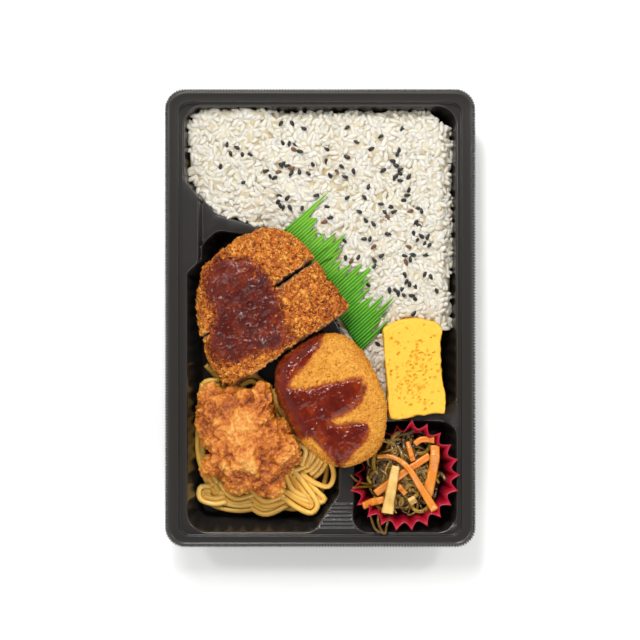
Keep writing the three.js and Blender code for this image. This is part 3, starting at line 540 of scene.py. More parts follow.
def wellWall(corners):
    # loops of one well's wall, from the top edge to the floor
    slope = tray["draft"] / (tray["ledge"] - tray["floor"])
    grid = np.arange(-1.6, 13, 0.2)
    stack = np.array([roundedLoop(corners, inset, 0.8) for inset in grid])
    base = roundedLoop(corners, 0, 0.8)
    top = ledgeHeight(base)
    step = np.linalg.norm(np.roll(base, -1, axis=0) - base, axis=1)
    along = np.cumsum(step)
    pitch = along[-1] / round(along[-1] / tray["flutePitch"])
    flute = 0.5 - 0.5 * np.cos(2 * math.pi * along / pitch)
    index = np.arange(len(base))

    def loopAt(inset, z):
        at = (inset - grid[0]) / (grid[1] - grid[0])
        low = np.clip(np.floor(at).astype(int), 0, len(grid) - 2)
        share = (at - low)[:, None]
        flat = stack[low, index] * (1 - share) + stack[low + 1, index] * share
        return np.column_stack([flat, z])

    loops = []
    for depth, roll in tray["roll"]:
        loops.append(loopAt((tray["ledge"] - top + depth) * slope - roll, top - depth))
    foot = tray["floor"] + tray["footRadius"]
    lowest = tray["roll"][-1][0]
    for share in np.linspace(0, 1, 9)[1:]:
        z = (top - lowest) * (1 - share) + foot * share
        bulge = tray["fluteDepth"] * flute * math.sin(math.pi * min(1, share * 1.15)) ** 0.7
        loops.append(loopAt((tray["ledge"] - z) * slope - bulge, z))
    wallInset = (tray["ledge"] - foot) * slope
    for angle in np.radians([22.5, 45, 67.5, 90]):
        z = tray["floor"] + tray["footRadius"] * (1 - math.sin(angle))
        inset = wallInset + tray["footRadius"] * (1 - math.cos(angle))
        loops.append(loopAt(np.full(len(base), inset), np.full(len(base), z)))
    return loops


def fillBetween(outer, holes, extra, heightAt):
    # triangles between an outer loop and holes, with extra points inside
    loops = [outer] + holes
    points = np.vstack([loop[:, :2] for loop in loops] + [extra])
    edges, start = [], 0
    for loop in loops:
        count = len(loop)
        edges += [(start + i, start + (i + 1) % count) for i in range(count)]
        start += count
    found = delaunay_2d_cdt([Vector(p) for p in points], edges, [], 0, 1e-6)
    flat = np.array([tuple(v) for v in found[0]])
    triangles = np.array([t for t in found[2] if len(t) == 3])
    middle = flat[triangles].mean(axis=1)
    keep = insideOf(outer[:, :2], middle)
    for hole in holes:
        keep &= ~insideOf(hole[:, :2], middle)
    triangles = triangles[keep]
    a, b, c = (flat[triangles[:, k]] for k in range(3))
    flipped = (b[:, 0] - a[:, 0]) * (c[:, 1] - a[:, 1]) - (b[:, 1] - a[:, 1]) * (c[:, 0] - a[:, 0]) < 0
    triangles[flipped] = triangles[flipped][:, ::-1]
    return np.column_stack([flat, heightAt(flat)]), triangles


def gridInside(outer, holes, spacing, low, high, clear=0.6):
    xs, ys = (np.arange(low[k], high[k], spacing[k]) for k in range(2))
    points = np.array(np.meshgrid(xs, ys)).reshape(2, -1).T
    keep = depthInside(outer[:, :2], points) > clear
    for hole in holes:
        keep &= depthInside(hole[:, :2], points) < -clear
    return points[keep]


def makeTray():
    halfWidth, halfLength = tray["width"] / 2, tray["length"] / 2
    flatRim = tray["rim"][5][0]

    def rimLoop(inset, z, spacing=0.42, knurl=0.0):
        beyond = max(0, inset - flatRim)
        top = inset - beyond * (1 - tray["rimTopShare"])
        bottom = inset - beyond * (1 - tray["rimBottomShare"])
        radius = max(1, tray["cornerRadius"] - inset * 0.6)
        corners = [
            (-halfWidth + inset, halfLength - top, radius),
            (-halfWidth + inset, -halfLength + bottom, radius),
            (halfWidth - inset, -halfLength + bottom, radius),
            (halfWidth - inset, halfLength - top, radius),
        ]
        count = tray["rimPoints"]
        loop = roundedLoop(corners, 0, spacing, 40)
        closed = np.vstack([loop, loop[:1]])
        around = np.concatenate([[0], np.cumsum(np.linalg.norm(np.diff(closed, axis=0), axis=1))])
        at = np.linspace(0, around[-1], count, endpoint=False)
        loop = np.column_stack([np.interp(at, around, closed[:, k]) for k in range(2)])
        if knurl:
            outward = np.roll(loop, -1, axis=0) - np.roll(loop, 1, axis=0)
            outward = np.column_stack([outward[:, 1], -outward[:, 0]])
            outward /= np.linalg.norm(outward, axis=1)[:, None]
            wave = np.array([0, -1, -1, 0])[np.arange(count) % 4]
            loop = loop + outward * (wave * knurl)[:, None]
        return np.column_stack([loop, np.full(count, z)])

    teeth = [(0, 31, 0.4), (0, 33.1, 1), (0.45, 33.5, 0.9)]  # inset, height and share of the knurl's depth
    fine = [rimLoop(inset, z, knurl=tray["knurlDepth"] * share) for inset, z, share in teeth]
    coarse = [rimLoop(inset, z)[::3] for inset, z in tray["rim"]]
    fineCount, coarseCount = len(fine[0]), len(coarse[0])
    vertices = np.vstack(fine + coarse)
    faces = []
    for level in range(len(fine) - 1):
        faces += ringQuads(level * fineCount, (level + 1) * fineCount, fineCount).tolist()
    lastFine, firstCoarse = (len(fine) - 1) * fineCount, len(fine) * fineCount
    for i in range(coarseCount):
        four = [lastFine + (3 * i + k) % fineCount for k in range(4)]
        faces.append(four + [firstCoarse + (i + 1) % coarseCount, firstCoarse + i])
    for level in range(len(coarse) - 1):
        start = firstCoarse + level * coarseCount
        faces += ringQuads(start, start + coarseCount, coarseCount).tolist()
    parts = [(vertices, faces)]

    walls = [wellWall(well) for well in (riceWell, sideWell, cupWell)]
    outer, holes = coarse[-1], [wall[0] for wall in walls]
    left, right, bottom, top = tray["ridgeArea"]
    extra = [
        gridInside(outer, holes, (4, 4), (-80, -124), (80, 124), 1.5),
        gridInside(outer, holes, (0.7, 1.5), (left - 3.5, 30), (left + 0.8, top + 4)),
        gridInside(outer, holes, (1.5, 0.7), (left - 3, top - 0.8), (right, top + 3.5)),
        gridInside(outer, holes, (1.2, 0.37), (-14, bottom - 17), (32, bottom + 1), 0.45),
    ]
    parts.append(fillBetween(outer, holes, np.vstack(extra), ledgeHeight))
    for wall in walls:
        count = len(wall[0])
        quads = np.vstack([ringQuads(k * count, (k + 1) * count, count) for k in range(len(wall) - 1)])
        parts.append((np.vstack(wall), quads.tolist()))
        inner = gridInside(wall[-1], [], (6, 6), (-80, -124), (80, 124), 0.8)
        parts.append(fillBetween(wall[-1], [], inner, lambda flat: np.full(len(flat), tray["floor"])))
    vertices, faces = joinMeshes(parts)
    piece = makePiece("tray_sheet", vertices, faces, trayLook, 0.5, ["tray"], "tray_plastic")
    welded = bmesh.new()
    welded.from_mesh(piece.data)
    bmesh.ops.remove_doubles(welded, verts=welded.verts, dist=0.02 * mm)
    welded.to_mesh(piece.data)
    welded.free()
    thicken(piece, tray["sheet"], -1)


# Rice: single grains over a low core, with black sesame

rice = {
    "spacing": 3.6, "length": (6.6, 8.4), "width": (3.0, 3.7), "thickness": (2.2, 2.7), "coreStep": 1.1,
    "coreDepth": 6,
    "coreDrop": 0.35, "coreLumps": 0.8, "lowerDrop": 1.1, "upperDrop": 0.75, "upperShare": 0.8, "seed": 7,
    # there is no rice beyond this line, nor in the corner right of and below this point
    "cutCorner": ((65.8, 117.3), (75, 109.8)), "emptyFrom": (66, -7),
}
riceLook = {
    "colours": [(0, (166, 142, 98)), (0.3, (193, 180, 150)), (0.6, (208, 201, 184)), (1, (216, 212, 202))],
    "mottle": [(13, 0.55), (3, 0.2)],
    "bumps": [(1.2, 0.03)],
    "finish": {
        "Roughness": 0.5, "Specular IOR Level": 0.25, "Subsurface Weight": 0.35,
        "Subsurface Radius": (1.0, 0.85, 0.6), "Subsurface Scale": 0.0012,
    },
}


def grainShapes():
    # plump grains of unit size, slightly bent
    shapes, sides = [], 6
    rings = [(-0.38, 0.66), (-0.17, 0.97), (0.12, 0.96), (0.36, 0.6)]  # place along the grain and girth
    for bend, flat in ((0.05, 0.0), (-0.04, 0.06), (0.09, -0.05)):
        points = [[-0.5, 0, 0]]
        for level, girth in rings:
            for k in range(sides):
                angle = 2 * math.pi * (k + 0.5) / sides
                y = 0.5 * girth * math.cos(angle) + bend * (1 - 4 * level * level)
                points.append([level, y, 0.5 * (girth + flat) * math.sin(angle)])
        points.append([0.5, 0, 0])
        shapes.append(points)
    return np.array(shapes), pointedFaces(sides, len(rings))


def loweredUnder(places, cover, clearance):
    # pieces under something else stay below it
    lid = castUp(cover, places - [0, 0, 3.0])
    low = np.where(np.isnan(lid), 1e9, lid - clearance)
    places[:, 2] = np.minimum(places[:, 2], low)
    return places


def beyondEdge(points):
    # above 0 where the tray is empty
    (ax, ay), (bx, by) = rice["cutCorner"]
    length = math.hypot(bx - ax, by - ay)
    corner = ((points[:, 0] - ax) * (ay - by) + (points[:, 1] - ay) * (bx - ax)) / length
    side = np.minimum(points[:, 0] - rice["emptyFrom"][0], rice["emptyFrom"][1] - points[:, 1])
    return np.maximum(corner, side)


def makeRice():
    draw = np.random.default_rng(rice["seed"])
    bed = surfaceOf("rice")
    cover = surfaceOf("grass_divider", "omelette_slice", "cutlet_slice_1", "cutlet_slice_2", "croquette")
    spacing = rice["spacing"]
    rows = []
    for row, y in enumerate(np.arange(-56, 124, spacing * 0.87)):
        xs = np.arange(-80 + (row % 2) * spacing / 2, 80, spacing)
        rows.append(np.column_stack([xs, np.full(len(xs), y)]))
    grid = np.vstack(rows)
    places, layers = [], []
    coats = ((rice["lowerDrop"], 1.0), (rice["upperDrop"], rice["upperShare"]))
    for layer, (drop, share) in enumerate(coats):
        spots = grid + draw.normal(0, 0.95, grid.shape) + layer * spacing * 0.5
        spots = spots[draw.random(len(spots)) < share]
        z = castDown(bed, spots)
        inRice = ~np.isnan(z) & (beyondEdge(spots) < 0)
        spots, z = spots[inRice], z[inRice]
        clump = layeredNoise(flatPoints(spots), 12, 2, 3) * 1.1
        places.append(np.column_stack([spots, z - drop + clump + draw.normal(0, 0.28, len(z))]))
        layers.append(np.full(len(z), layer))
    places, layers = np.vstack(places), np.concatenate(layers)
    places = loweredUnder(places, cover, 2.4)
    count = len(places)
    slope = np.column_stack([draw.normal(0, 0.25, count), draw.normal(0, 0.25, count), np.ones(count)])
    tilt = np.abs(draw.normal(0, np.where(layers == 1, 0.3, 0.2)))
    heading = draw.uniform(0, 2 * math.pi, count)
    frames = standFrames(slope, heading, tilt, draw.uniform(0, 2 * math.pi, count))
    sizes = np.column_stack([draw.uniform(*rice[k], count) for k in ("length", "width", "thickness")])
    shapes, faces = grainShapes()
    vertices, faces, owner = copiesOf(shapes, faces, places, frames, sizes, draw)
    height = vertices[:, 2] - places[owner, 2]  # painted shade: darker deep down between the grains
    tone = draw.uniform(0.42, 0.75, count)[owner] + 0.3 * np.minimum(height, 0.6)
    makePiece("rice_grains", vertices, faces, riceLook, tone, ["rice"], "rice")

    low, high = (np.array(corner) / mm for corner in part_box("rice"))
    step = rice["coreStep"]
    xs, ys = np.arange(low[0], high[0] + step, step), np.arange(low[1], high[1] + step, step)
    spots = np.array(np.meshgrid(xs, ys)).reshape(2, -1).T
    heights = castDown(bed, spots)
    inside = ~np.isnan(heights) & (beyondEdge(spots) < -1)
    floor = low[2] + 0.2
    flat = flatPoints(spots)
    lumps = rice["coreLumps"] * noiseAt(flat, 3.2, 9) + 1.1 * layeredNoise(flat, 12, 2, 3)
    top = np.where(inside, np.maximum(heights - rice["coreDrop"] + lumps, floor + 0.5), floor)
    quads = gridQuads(inside.reshape(len(ys), len(xs)))
    # painted shade: the core, seen only in the gaps between the grains, is darker, most where its lumps lie
    # low
    coreTone = 0.3 + 0.3 * lumps[inside]
    lid = castUp(cover, np.column_stack([spots, heights - 3.0])[inside])
    top[inside] = np.minimum(top[inside], np.where(np.isnan(lid), 1e9, lid - 1.6))
    coreVertices = np.column_stack([spots, top])[inside]
    core = makePiece("rice_core", coreVertices, quads, riceLook, coreTone, [], "rice")
    thicken(core, rice["coreDepth"], -1)
    return treeOf(*joinMeshes([(vertices, faces), (coreVertices, quads)]))


sesame = {
    "length": 3.9, "width": 2.2, "thickness": 1.2, "seed": 31,
    "black": [
        (-22.8, 112.5), (-16.2, 112.6), (-9.5, 109.6), (-54.1, 100.8), (-48.3, 98.8), (-52, 95.3),
        (-45, 94.5), (-40.6, 94.7), (-57.9, 87.8), (-44.3, 78.7), (-21.6, 101.3), (-18, 100.8),
        (-14.2, 100.3), (-11.6, 96.2), (-21, 90), (-22.6, 88.4), (-19.2, 88.2), (-31.4, 85.3),
        (-29, 81.9), (-26.5, 81.1), (-16.8, 83.6), (-12, 84.7), (-6.9, 83.6), (-4.4, 89), (3.8, 97.7),
        (3.5, 90.6), (5.7, 82.4), (12.5, 87.5), (14.3, 81.6), (15.5, 93), (15.5, 110), (20.9, 101.8),
        (29.6, 97.7), (19.3, 84.6), (28, 76), (25.7, 69.8), (35, 65.9), (22.6, 61.5), (26.3, 56.5),
        (30.8, 54.4), (-23.7, 70.9), (-19, 69.5), (-24.3, 67.6), (-23.1, 65), (-21.4, 63.9),
        (-17.4, 63.8), (-10.5, 63.4), (-2.3, 70.9), (4.1, 64.3), (15.7, 69.6), (5.9, 58), (14, 44.7),
        (11.9, 43.8), (14.7, 34.8), (22.1, 35.1), (25.3, 45.7), (28.8, 45.7), (31.3, 33.4), (31.4, 30),
        (27.6, 19.2), (35.8, -8), (33.3, -15), (47.5, 109.5), (35, 104.8), (45.6, 97), (44.7, 94.7),
        (41.9, 90.8), (43.8, 88.2), (46.5, 85.9), (46.1, 83.6), (44.2, 82.3), (42.9, 80.9), (46.4, 79.5),
        (51.2, 81.5), (36.4, 85.3), (51.4, 74), (50.4, 71), (48.6, 68), (40.5, 64.3), (37.5, 61.3),
        (42.7, 61.4), (56.7, 63.4), (58.6, 61.9), (55.4, 55.3), (57, 53.6), (54.2, 48.8), (58.5, 47.4),
        (56, 44.9), (62.2, 46.9), (60.8, 43.3), (63, 42), (39.2, 48.6), (35.5, 35.9), (48.9, 35.9),
        (52.1, 33.9), (53.5, 36.6), (61.1, 36.4), (49, 24.9), (60.4, 25.1), (64, 23.7), (49.8, 20.9),
        (51.6, 19.6), (54.9, 18.4), (40.1, 15.9), (43.6, 15.9), (45.1, 14.2), (47.3, 16.8), (48.2, 13.6),
        (53, 13.1), (55, 10.8), (67.3, 15.7), (54.1, 2.5),
    ],
    "brown": [
        (-15.1, 97.4), (-24, 84.7), (-16.7, 86.6), (9.7, 84.8), (2.4, 55.6), (17.8, 32.2), (30.8, 41),
        (39.1, 58.3), (52.1, 61.8), (51.2, 41.2), (49.8, 32),
    ],
}
sesameLook = {
    "colours": [(0, (12, 10, 9)), (0.6, (24, 19, 16)), (1, (104, 62, 32))],
    "mottle": [(1.2, 0.15)],
    "bumps": [(0.35, 0.03)],
    "finish": {"Roughness": 0.4, "Specular IOR Level": 0.5},
}


def seedShape():
    # a flat drop, pointed at one end
    sides = 8
    rings = [(-0.36, 0.82), (-0.12, 1.0), (0.16, 0.86), (0.4, 0.42)]
    points = [[-0.5, 0, 0]]
    for level, girth in rings:
        for k in range(sides):
            angle = 2 * math.pi * k / sides
            points.append([level, 0.5 * girth * math.cos(angle), 0.5 * girth * math.sin(angle)])
    points.append([0.52, 0, 0])
    return np.array([points]), pointedFaces(sides, len(rings))


def makeSesame(grains):
    draw = np.random.default_rng(sesame["seed"])
    spots = np.array(sesame["black"] + sesame["brown"])
    brown = np.arange(len(spots)) >= len(sesame["black"])
    cover = surfaceOf("grass_divider", "omelette_slice", "cutlet_slice_1", "cutlet_slice_2")
    heights, covered = castDown(grains, spots), castDown(cover, spots)
    keep = ~np.isnan(heights) & np.isnan(covered)
    places = np.column_stack([spots, heights + 0.5])[keep]
    count = len(places)
    level = np.tile([0, 0, 1.0], (count, 1))
    turns = draw.uniform(0, 2 * math.pi, (2, count))
    frames = standFrames(level, turns[0], np.abs(draw.normal(0, 0.22, count)), turns[1])
    whole = np.array([[sesame["length"], sesame["width"], sesame["thickness"]]])
    sizes = whole * draw.uniform(0.92, 1.1, (count, 1))
    shapes, faces = seedShape()
    vertices, faces, owner = copiesOf(shapes, faces, places, frames, sizes, draw)
    tone = np.where(brown[keep], 0.95, draw.uniform(0.1, 0.5, count))[owner]
    makePiece("black_sesame", vertices, faces, sesameLook, tone)


# Grass divider: a thin embossed film with cut points

divider = {
    "base": [(-21, 51.2), (23.8, -20)],
    "edge": [
        (5.6, 73.5), (-7, 58), (-1.3, 58), (-6, 50), (-1.3, 51.7), (-3.5, 45), (3, 49.4), (0.5, 42),
        (9.1, 49.4), (7.2, 42), (15.4, 49.4), (6, 34), (14.2, 42.5), (6.5, 30), (12.8, 34.5), (9.8, 27),
        (18.3, 31.6), (14, 24), (24.9, 32.2), (21, 24), (31.7, 31.6), (21.5, 17), (30.6, 25.3), (21.6, 13),
        (29.8, 18.4), (21.5, 8), (30.6, 12.6), (27, 5), (36.7, 13.4), (32, 3.5), (43.5, 13.2), (32, -3),
        (41.8, 6.9), (28, -10), (40.7, -0.6),
    ],
    "thickness": 0.25, "rows": 16, "between": 4, "crossing": (0.86, 0.51),
    "height": 24.95, "slope": 0.1, "middle": 8, "wave": 0.45,
}
dividerLook = {
    "colours": [(0, (7, 84, 15)), (0.3, (40, 125, 22)), (0.6, (92, 166, 39)), (1, (131, 191, 55))],
    "mottle": [(14, 0.3)],
    "grooves": (42, 1.65, 0.3, 0.27),
    "bumps": [(6, 0.1)],
    "finish": {
        "Roughness": 0.36, "Specular IOR Level": 0.25, "Subsurface Weight": 0.2, "Subsurface Scale": 0.001,
    },
}


def makeDivider():
    edge = np.array(divider["edge"])
    count = (len(edge) - 1) * divider["between"] + 1
    at = np.linspace(0, len(edge) - 1, count)
    tips = np.column_stack([np.interp(at, np.arange(len(edge)), edge[:, k]) for k in range(2)])
    start, end = np.array(divider["base"])
    share = np.linspace(0, 1, count)
    base = start + (end - start) * share[:, None]
    loops = []
    for reach in np.linspace(0, 1, divider["rows"]):
        flat = base + (tips - base) * reach
        across = flat @ np.array(divider["crossing"])
        wave = divider["wave"] * (np.sin(share * 31) + 1) * min(1, reach / 0.55)
        lift = 0.5 * eased(0.7, 1, reach) * layeredNoise(flatPoints(flat), 7, 2, 5)
        z = divider["height"] + divider["slope"] * (across - divider["middle"]) + wave + lift
        loops.append(np.column_stack([flat, z]))
    rows = [ringQuads(k * count, (k + 1) * count, count, False) for k in range(len(loops) - 1)]
    faces = np.vstack(rows)[:, ::-1]
    vertices = np.vstack(loops)
    reach = np.repeat(np.linspace(0, 1, divider["rows"]), count)
    # painted shade: darker towards the base, where the film tucks under the food, and towards its lower end
    # beside the cutlet and croquette
    tone = 0.3 + 0.32 * reach + 0.0045 * vertices[:, 1]
    nodes = ["grass_divider"]
    piece = makePiece("grass_divider_film", vertices, faces, dividerLook, tone, nodes, "leaf_film")
    thicken(piece, divider["thickness"], 0)


# Breaded pieces


def restingHeight(x, y):
    return 25 + 0.12 * (0.86 * x + 0.51 * y)


def croquetteRest(x, y):
    return 25 + 0.06 * (x - 14)


patty = {
    "around": 150, "levels": 34,
    # outline's share and height, from the bottom up
    "rings": [
        (0.03, 0), (0.6, 0), (0.93, 0.12), (1, 0.45), (0.95, 0.79), (0.8, 0.96), (0.35, 1.02), (0.03, 1.02),
    ],
}


def pattyBody(outline, bottom, thickness, rings, rough, grain):
    loop = turnedLeft(curveThrough(outline, patty["around"], True))
    centre = loop.mean(axis=0)
    loops = []
    for scale, level in curveThrough(rings, patty["levels"]):
        arm = loop - centre
        reach = np.linalg.norm(arm, axis=1)
        wobble = rough * noiseAt(flatPoints(loop, level * thickness), grain)
        flat = centre + arm * ((reach + wobble) / reach * scale)[:, None]
        lift = rough * noiseAt(flatPoints(flat, 90), grain) * eased(0.3, 0.7, level)
        loops.append(np.column_stack([flat, bottom(flat[:, 0], flat[:, 1]) + thickness * level + lift]))
    return loftThrough(loops)


def squareTo(line):
    # the level direction at right angles to a line
    (ax, ay), (bx, by) = line
    return np.array([-(by - ay), bx - ax]) / math.hypot(bx - ax, by - ay)


def cutBy(vertices, faces, line, keepAbove):
    # the part of a body on one side of an upright plane through a line
    mesh = bpy.data.meshes.new("cut")
    mesh.from_pydata(np.asarray(vertices).tolist(), [], faces)
    body = bmesh.new()
    body.from_mesh(mesh)
    everything = body.verts[:] + body.edges[:] + body.faces[:]
    normal = Vector((*squareTo(line), 0)) * (1 if keepAbove else -1)
    onLine = (*line[0], 0)
    cut = bmesh.ops.bisect_plane(body, geom=everything, plane_co=onLine, plane_no=normal, clear_inner=True)
    edges = [item for item in cut["geom_cut"] if isinstance(item, bmesh.types.BMEdge)]
    bmesh.ops.edgeloop_fill(body, edges=edges)
    body.to_mesh(mesh)
    body.free()
    result = np.array([v.co for v in mesh.vertices]), [tuple(p.vertices) for p in mesh.polygons]
    bpy.data.meshes.remove(mesh)
    return result


def crumbShapes(draw):
    # irregular flakes of unit size
    golden = (1 + 5 ** 0.5) / 2
    corners = []
    for a in (-1, 1):
        for b in (-golden, golden):
            corners += [(0, a, b), (a, b, 0), (b, 0, a)]
    corners = np.array(corners) / math.hypot(1, golden) / 2
    hull = bmesh.new()
    for corner in corners:
        hull.verts.new(corner)
    bmesh.ops.convex_hull(hull, input=hull.verts[:])
    bmesh.ops.recalc_face_normals(hull, faces=hull.faces[:])
    hull.verts.index_update()
    faces = np.array([[v.index for v in face.verts] for face in hull.faces])
    hull.free()
    return [corners * draw.uniform(0.55, 1.35, (len(corners), 1)) for _ in range(8)], faces


def strewCrumbs(vertices, normals, allowed, number, sizes, draw, sink, lean):
    chosen = draw.choice(np.flatnonzero(allowed), number)
    shapes, faces = crumbShapes(draw)
    heading = draw.uniform(0, fullTurn, number)
    tilt = np.abs(draw.normal(0, lean, number))
    frames = standFrames(normals[chosen], heading, tilt, draw.uniform(0, fullTurn, number))
    scale = np.column_stack([draw.uniform(*sizes[k], number) for k in range(3)])
    places = vertices[chosen] + normals[chosen] * (scale[:, 2:] * (0.5 - sink) - 0.15)
    return copiesOf(shapes, faces, places, frames, scale, draw)


cutletSauce = [
    (-62.2, 31.6), (-57.3, 35.3), (-50.5, 34.1), (-42.5, 33.5), (-37.5, 30.4), (-33.8, 27.3), (-29.5, 23.6),
    (-27.6, 18), (-23.9, 13.1), (-22.7, 5), (-20.8, -3), (-17.7, -9.2), (-14.6, -11), (-23.9, -17.2),
    (-32.6, -19), (-40, -20.9), (-43.7, -24), (-52.3, -25.8), (-61, -23.4), (-63.5, -15.3), (-62.5, -6.7),
    (-59.7, 0.7), (-62.2, 7.5), (-66.2, 13.7), (-67.8, 20.5), (-65.9, 26.1),
]
croquetteSauce = [
    (1.7, -9.6), (-1.1, -16.9), (-5.6, -21.4), (-10.1, -27.6), (-14.6, -32.1), (-17.4, -36.6), (-17.4, -39.9),
    (-9, -40.5), (-0.5, -38.8), (6.8, -37.1), (13.5, -36), (19.1, -34.3), (23.6, -34.6), (25.3, -39.9),
    (23.6, -45.5), (20.2, -50.6), (15.2, -54), (9, -56.8), (5.1, -58.7), (11.2, -60.7), (19.1, -60.1),
    (24.2, -60.1), (27, -63.5), (26.4, -68), (23.1, -72.5), (18.6, -76.4), (14.6, -82), (10.7, -84.3),
    (6.8, -80.9), (2.3, -75.9), (-1.1, -69.7), (-5.6, -67.4), (-10.6, -69.1), (-15.7, -64.6), (-19.1, -57.9),
    (-20.8, -52.8), (-24.1, -47.8), (-26.1, -40.5), (-26.4, -33.2), (-25, -27.6), (-21.3, -22.5),
    (-14.6, -17.5), (-7.8, -12.4), (-2.2, -9),
]

cutlet = {
    "outline": [
        (-66.7, -16.9), (-70.7, 1), (-70.7, 16.1), (-66, 28.6), (-56.1, 39.1), (-42.3, 47.7),
        (-29.8, 52), (-18.6, 49.7), (-9.7, 41.6), (-3, 33.2), (5.3, 21.6), (12.2, 12.2), (16.9, 3.6),
        (10, -12), (-12, -34), (-40, -42), (-55, -37.4), (-62.5, -29),
    ],
    "middleCut": [(-80, -19.9), (10, 42.3)],
    "lowerCut": [(-80, -59.2), (30, 13.4)],
    "clearance": 0.4, "thickness": 17, "voxel": 0.56, "seed": 11, "crumble": 1.7,
    "rough": (0.9, 9),  # height and width of its bumps
    "crumbs": 2300, "crumbSizes": [(1.5, 3.8), (0.8, 1.8), (0.5, 1.1)],
}
cutletLook = {
    # the last colour is the meat at the cuts
    "colours": [
        (0, (74, 23, 4)), (0.25, (134, 57, 12)), (0.5, (184, 99, 24)), (0.72, (208, 130, 42)),
        (0.9, (220, 167, 77)), (1, (132, 92, 62)),
    ],
    "mottle": [(16, 0.26), (2.2, 0.3), (0.8, 0.2)],
    "bumps": [(0.7, 0.24), (0.3, 0.1)],
    "finish": {"Roughness": 0.44, "Specular IOR Level": 0.3},
}


def planeDistance(points, line):
    return (points[:, :2] - line[0]) @ squareTo(line)


def shifted(line, amount):
    return [(x, y + amount) for x, y in line]


def makeCutlet():
    # both slices are cut from one breaded piece
    whole = pattyBody(cutlet["outline"], restingHeight, cutlet["thickness"], patty["rings"], *cutlet["rough"])
    clearance = cutlet["clearance"]
    upperLine, lowerLine = shifted(cutlet["middleCut"], clearance), shifted(cutlet["middleCut"], -clearance)
    slices = [
        (cutBy(*whole, upperLine, True), [upperLine]),
        (cutBy(*cutBy(*whole, lowerLine, False), cutlet["lowerCut"], True), [lowerLine, cutlet["lowerCut"]]),
    ]
    bodies = []
    for number, (body, cuts) in enumerate(slices, 1):
        draw = np.random.default_rng(cutlet["seed"] + number)
        vertices, faces, normals = evenMesh(*body, cutlet["voxel"])
        toCut = np.min([np.abs(planeDistance(vertices, line)) for line in cuts], axis=0)
        crust = eased(0.25, 1.3, toCut)
        underSauce = depthInside(np.array(cutletSauce), vertices[:, :2])
        relief = 1.15 * creasedNoise(vertices, 4.4, 2, 3) + 0.5 * noiseAt(vertices, 1.5, 8) - 0.95
        lumps = relief * (0.15 + 0.85 * crust) + 0.4 * layeredNoise(vertices, 12, 2, 5) * crust
        vertices = vertices + normals * lumps[:, None]
        height = (vertices[:, 2] - restingHeight(vertices[:, 0], vertices[:, 1])) / cutlet["thickness"]
        ragged = 0.1 + 1.5 * np.abs(noiseAt(vertices, 4.2, 6)) + 0.5 * noiseAt(vertices, 1.4, 7)
        ragged += 0.6 * noiseAt(vertices, 14, 9)
        for line in cuts:  # the cut edges crumble
            inwards = squareTo(line) * (1 if line is not lowerLine else -1)
            near = eased(3.2, 0.4, np.abs(planeDistance(vertices, line))) * eased(0.3, 1, height)
            vertices[:, :2] += inwards * (cutlet["crumble"] * ragged * near)[:, None]
        # painted shade: the crust is darker in the creases of its relief and towards the right end; the
        # darkening under the sauce is its stain
        tone = 0.58 + 0.36 * relief - 0.45 * eased(-4, 1.5, underSauce) - 0.16 * eased(-4, 12, vertices[:, 0])
        meat = 1.3 + 0.3 * noiseAt(vertices, 3, 4) - 1.2 * eased(-3, 0, underSauce)
        tone = np.where(toCut < 0.35, meat, np.minimum(tone, 0.86))
        bodies.append((vertices, faces))
        allowed = (toCut > 1.2) & (normals[:, 2] > -0.5)
        allowed &= draw.random(len(vertices)) > 0.8 * eased(-1, 2.5, underSauce)
        flakes, flakeFaces, owner = strewCrumbs(
            vertices, normals, allowed, cutlet["crumbs"], cutlet["crumbSizes"], draw, 0.2, 0.55
        )
        flakeTone = draw.normal(0.58, 0.2, cutlet["crumbs"])[owner]
        flakeTone -= 0.42 * eased(-4, 1.5, depthInside(np.array(cutletSauce), flakes[:, :2]))
        # painted shade: the flakes are darker towards the right end
        flakeTone -= 0.16 * eased(-4, 12, flakes[:, 0])
        joined = joinMeshes([(vertices, faces), (flakes, flakeFaces.tolist())])
        name = f"cutlet_slice_{number}"
        tones = np.concatenate([tone, np.minimum(flakeTone, 0.84)])
        makePiece(name + "_crust", *joined, cutletLook, tones, [name], "cutlet_crust")
    return bodies


sauce = {
    "step": 0.45, "thickness": 0.85, "edge": 1.8, "bridge": 3, "soften": 0.5, "ragged": 3.2, "steepest": 4.5,
    "depth": 0.9,
}
cutletSauceLook = {
    "colours": [(0, (164, 80, 24)), (0.3, (126, 48, 20)), (0.6, (94, 30, 18)), (1, (70, 20, 14))],
    "mottle": [(5, 0.35), (1.4, 0.35)],
    "bumps": [(1.8, 0.45)],
    "finish": {"Roughness": 0.06, "Specular IOR Level": 0.26},
}
croquetteSauceLook = dict(
    cutletSauceLook, bumps=[(2.4, 0.3)],
    colours=[(0, (164, 84, 22)), (0.3, (136, 50, 14)), (0.6, (102, 28, 12)), (1, (82, 20, 12))],
)


def spreadOut(heights, reach, widest):
    # the highest or lowest of each point's neighbours
    pick = np.maximum if widest else np.minimum
    result = heights.copy()
    for dy in range(-reach, reach + 1):
        for dx in range(-reach, reach + 1):
            if dx * dx + dy * dy <= reach * reach:
                result = pick(result, np.roll(heights, (dy, dx), (0, 1)))
    return result


def blurred(heights, width):
    reach = math.ceil(2.5 * width)
    weights = np.exp(-0.5 * (np.arange(-reach, reach + 1) / width) ** 2)
    weights /= weights.sum()
    for axis in (0, 1):
        heights = sum(w * np.roll(heights, k - reach, axis) for k, w in enumerate(weights))
    return heights


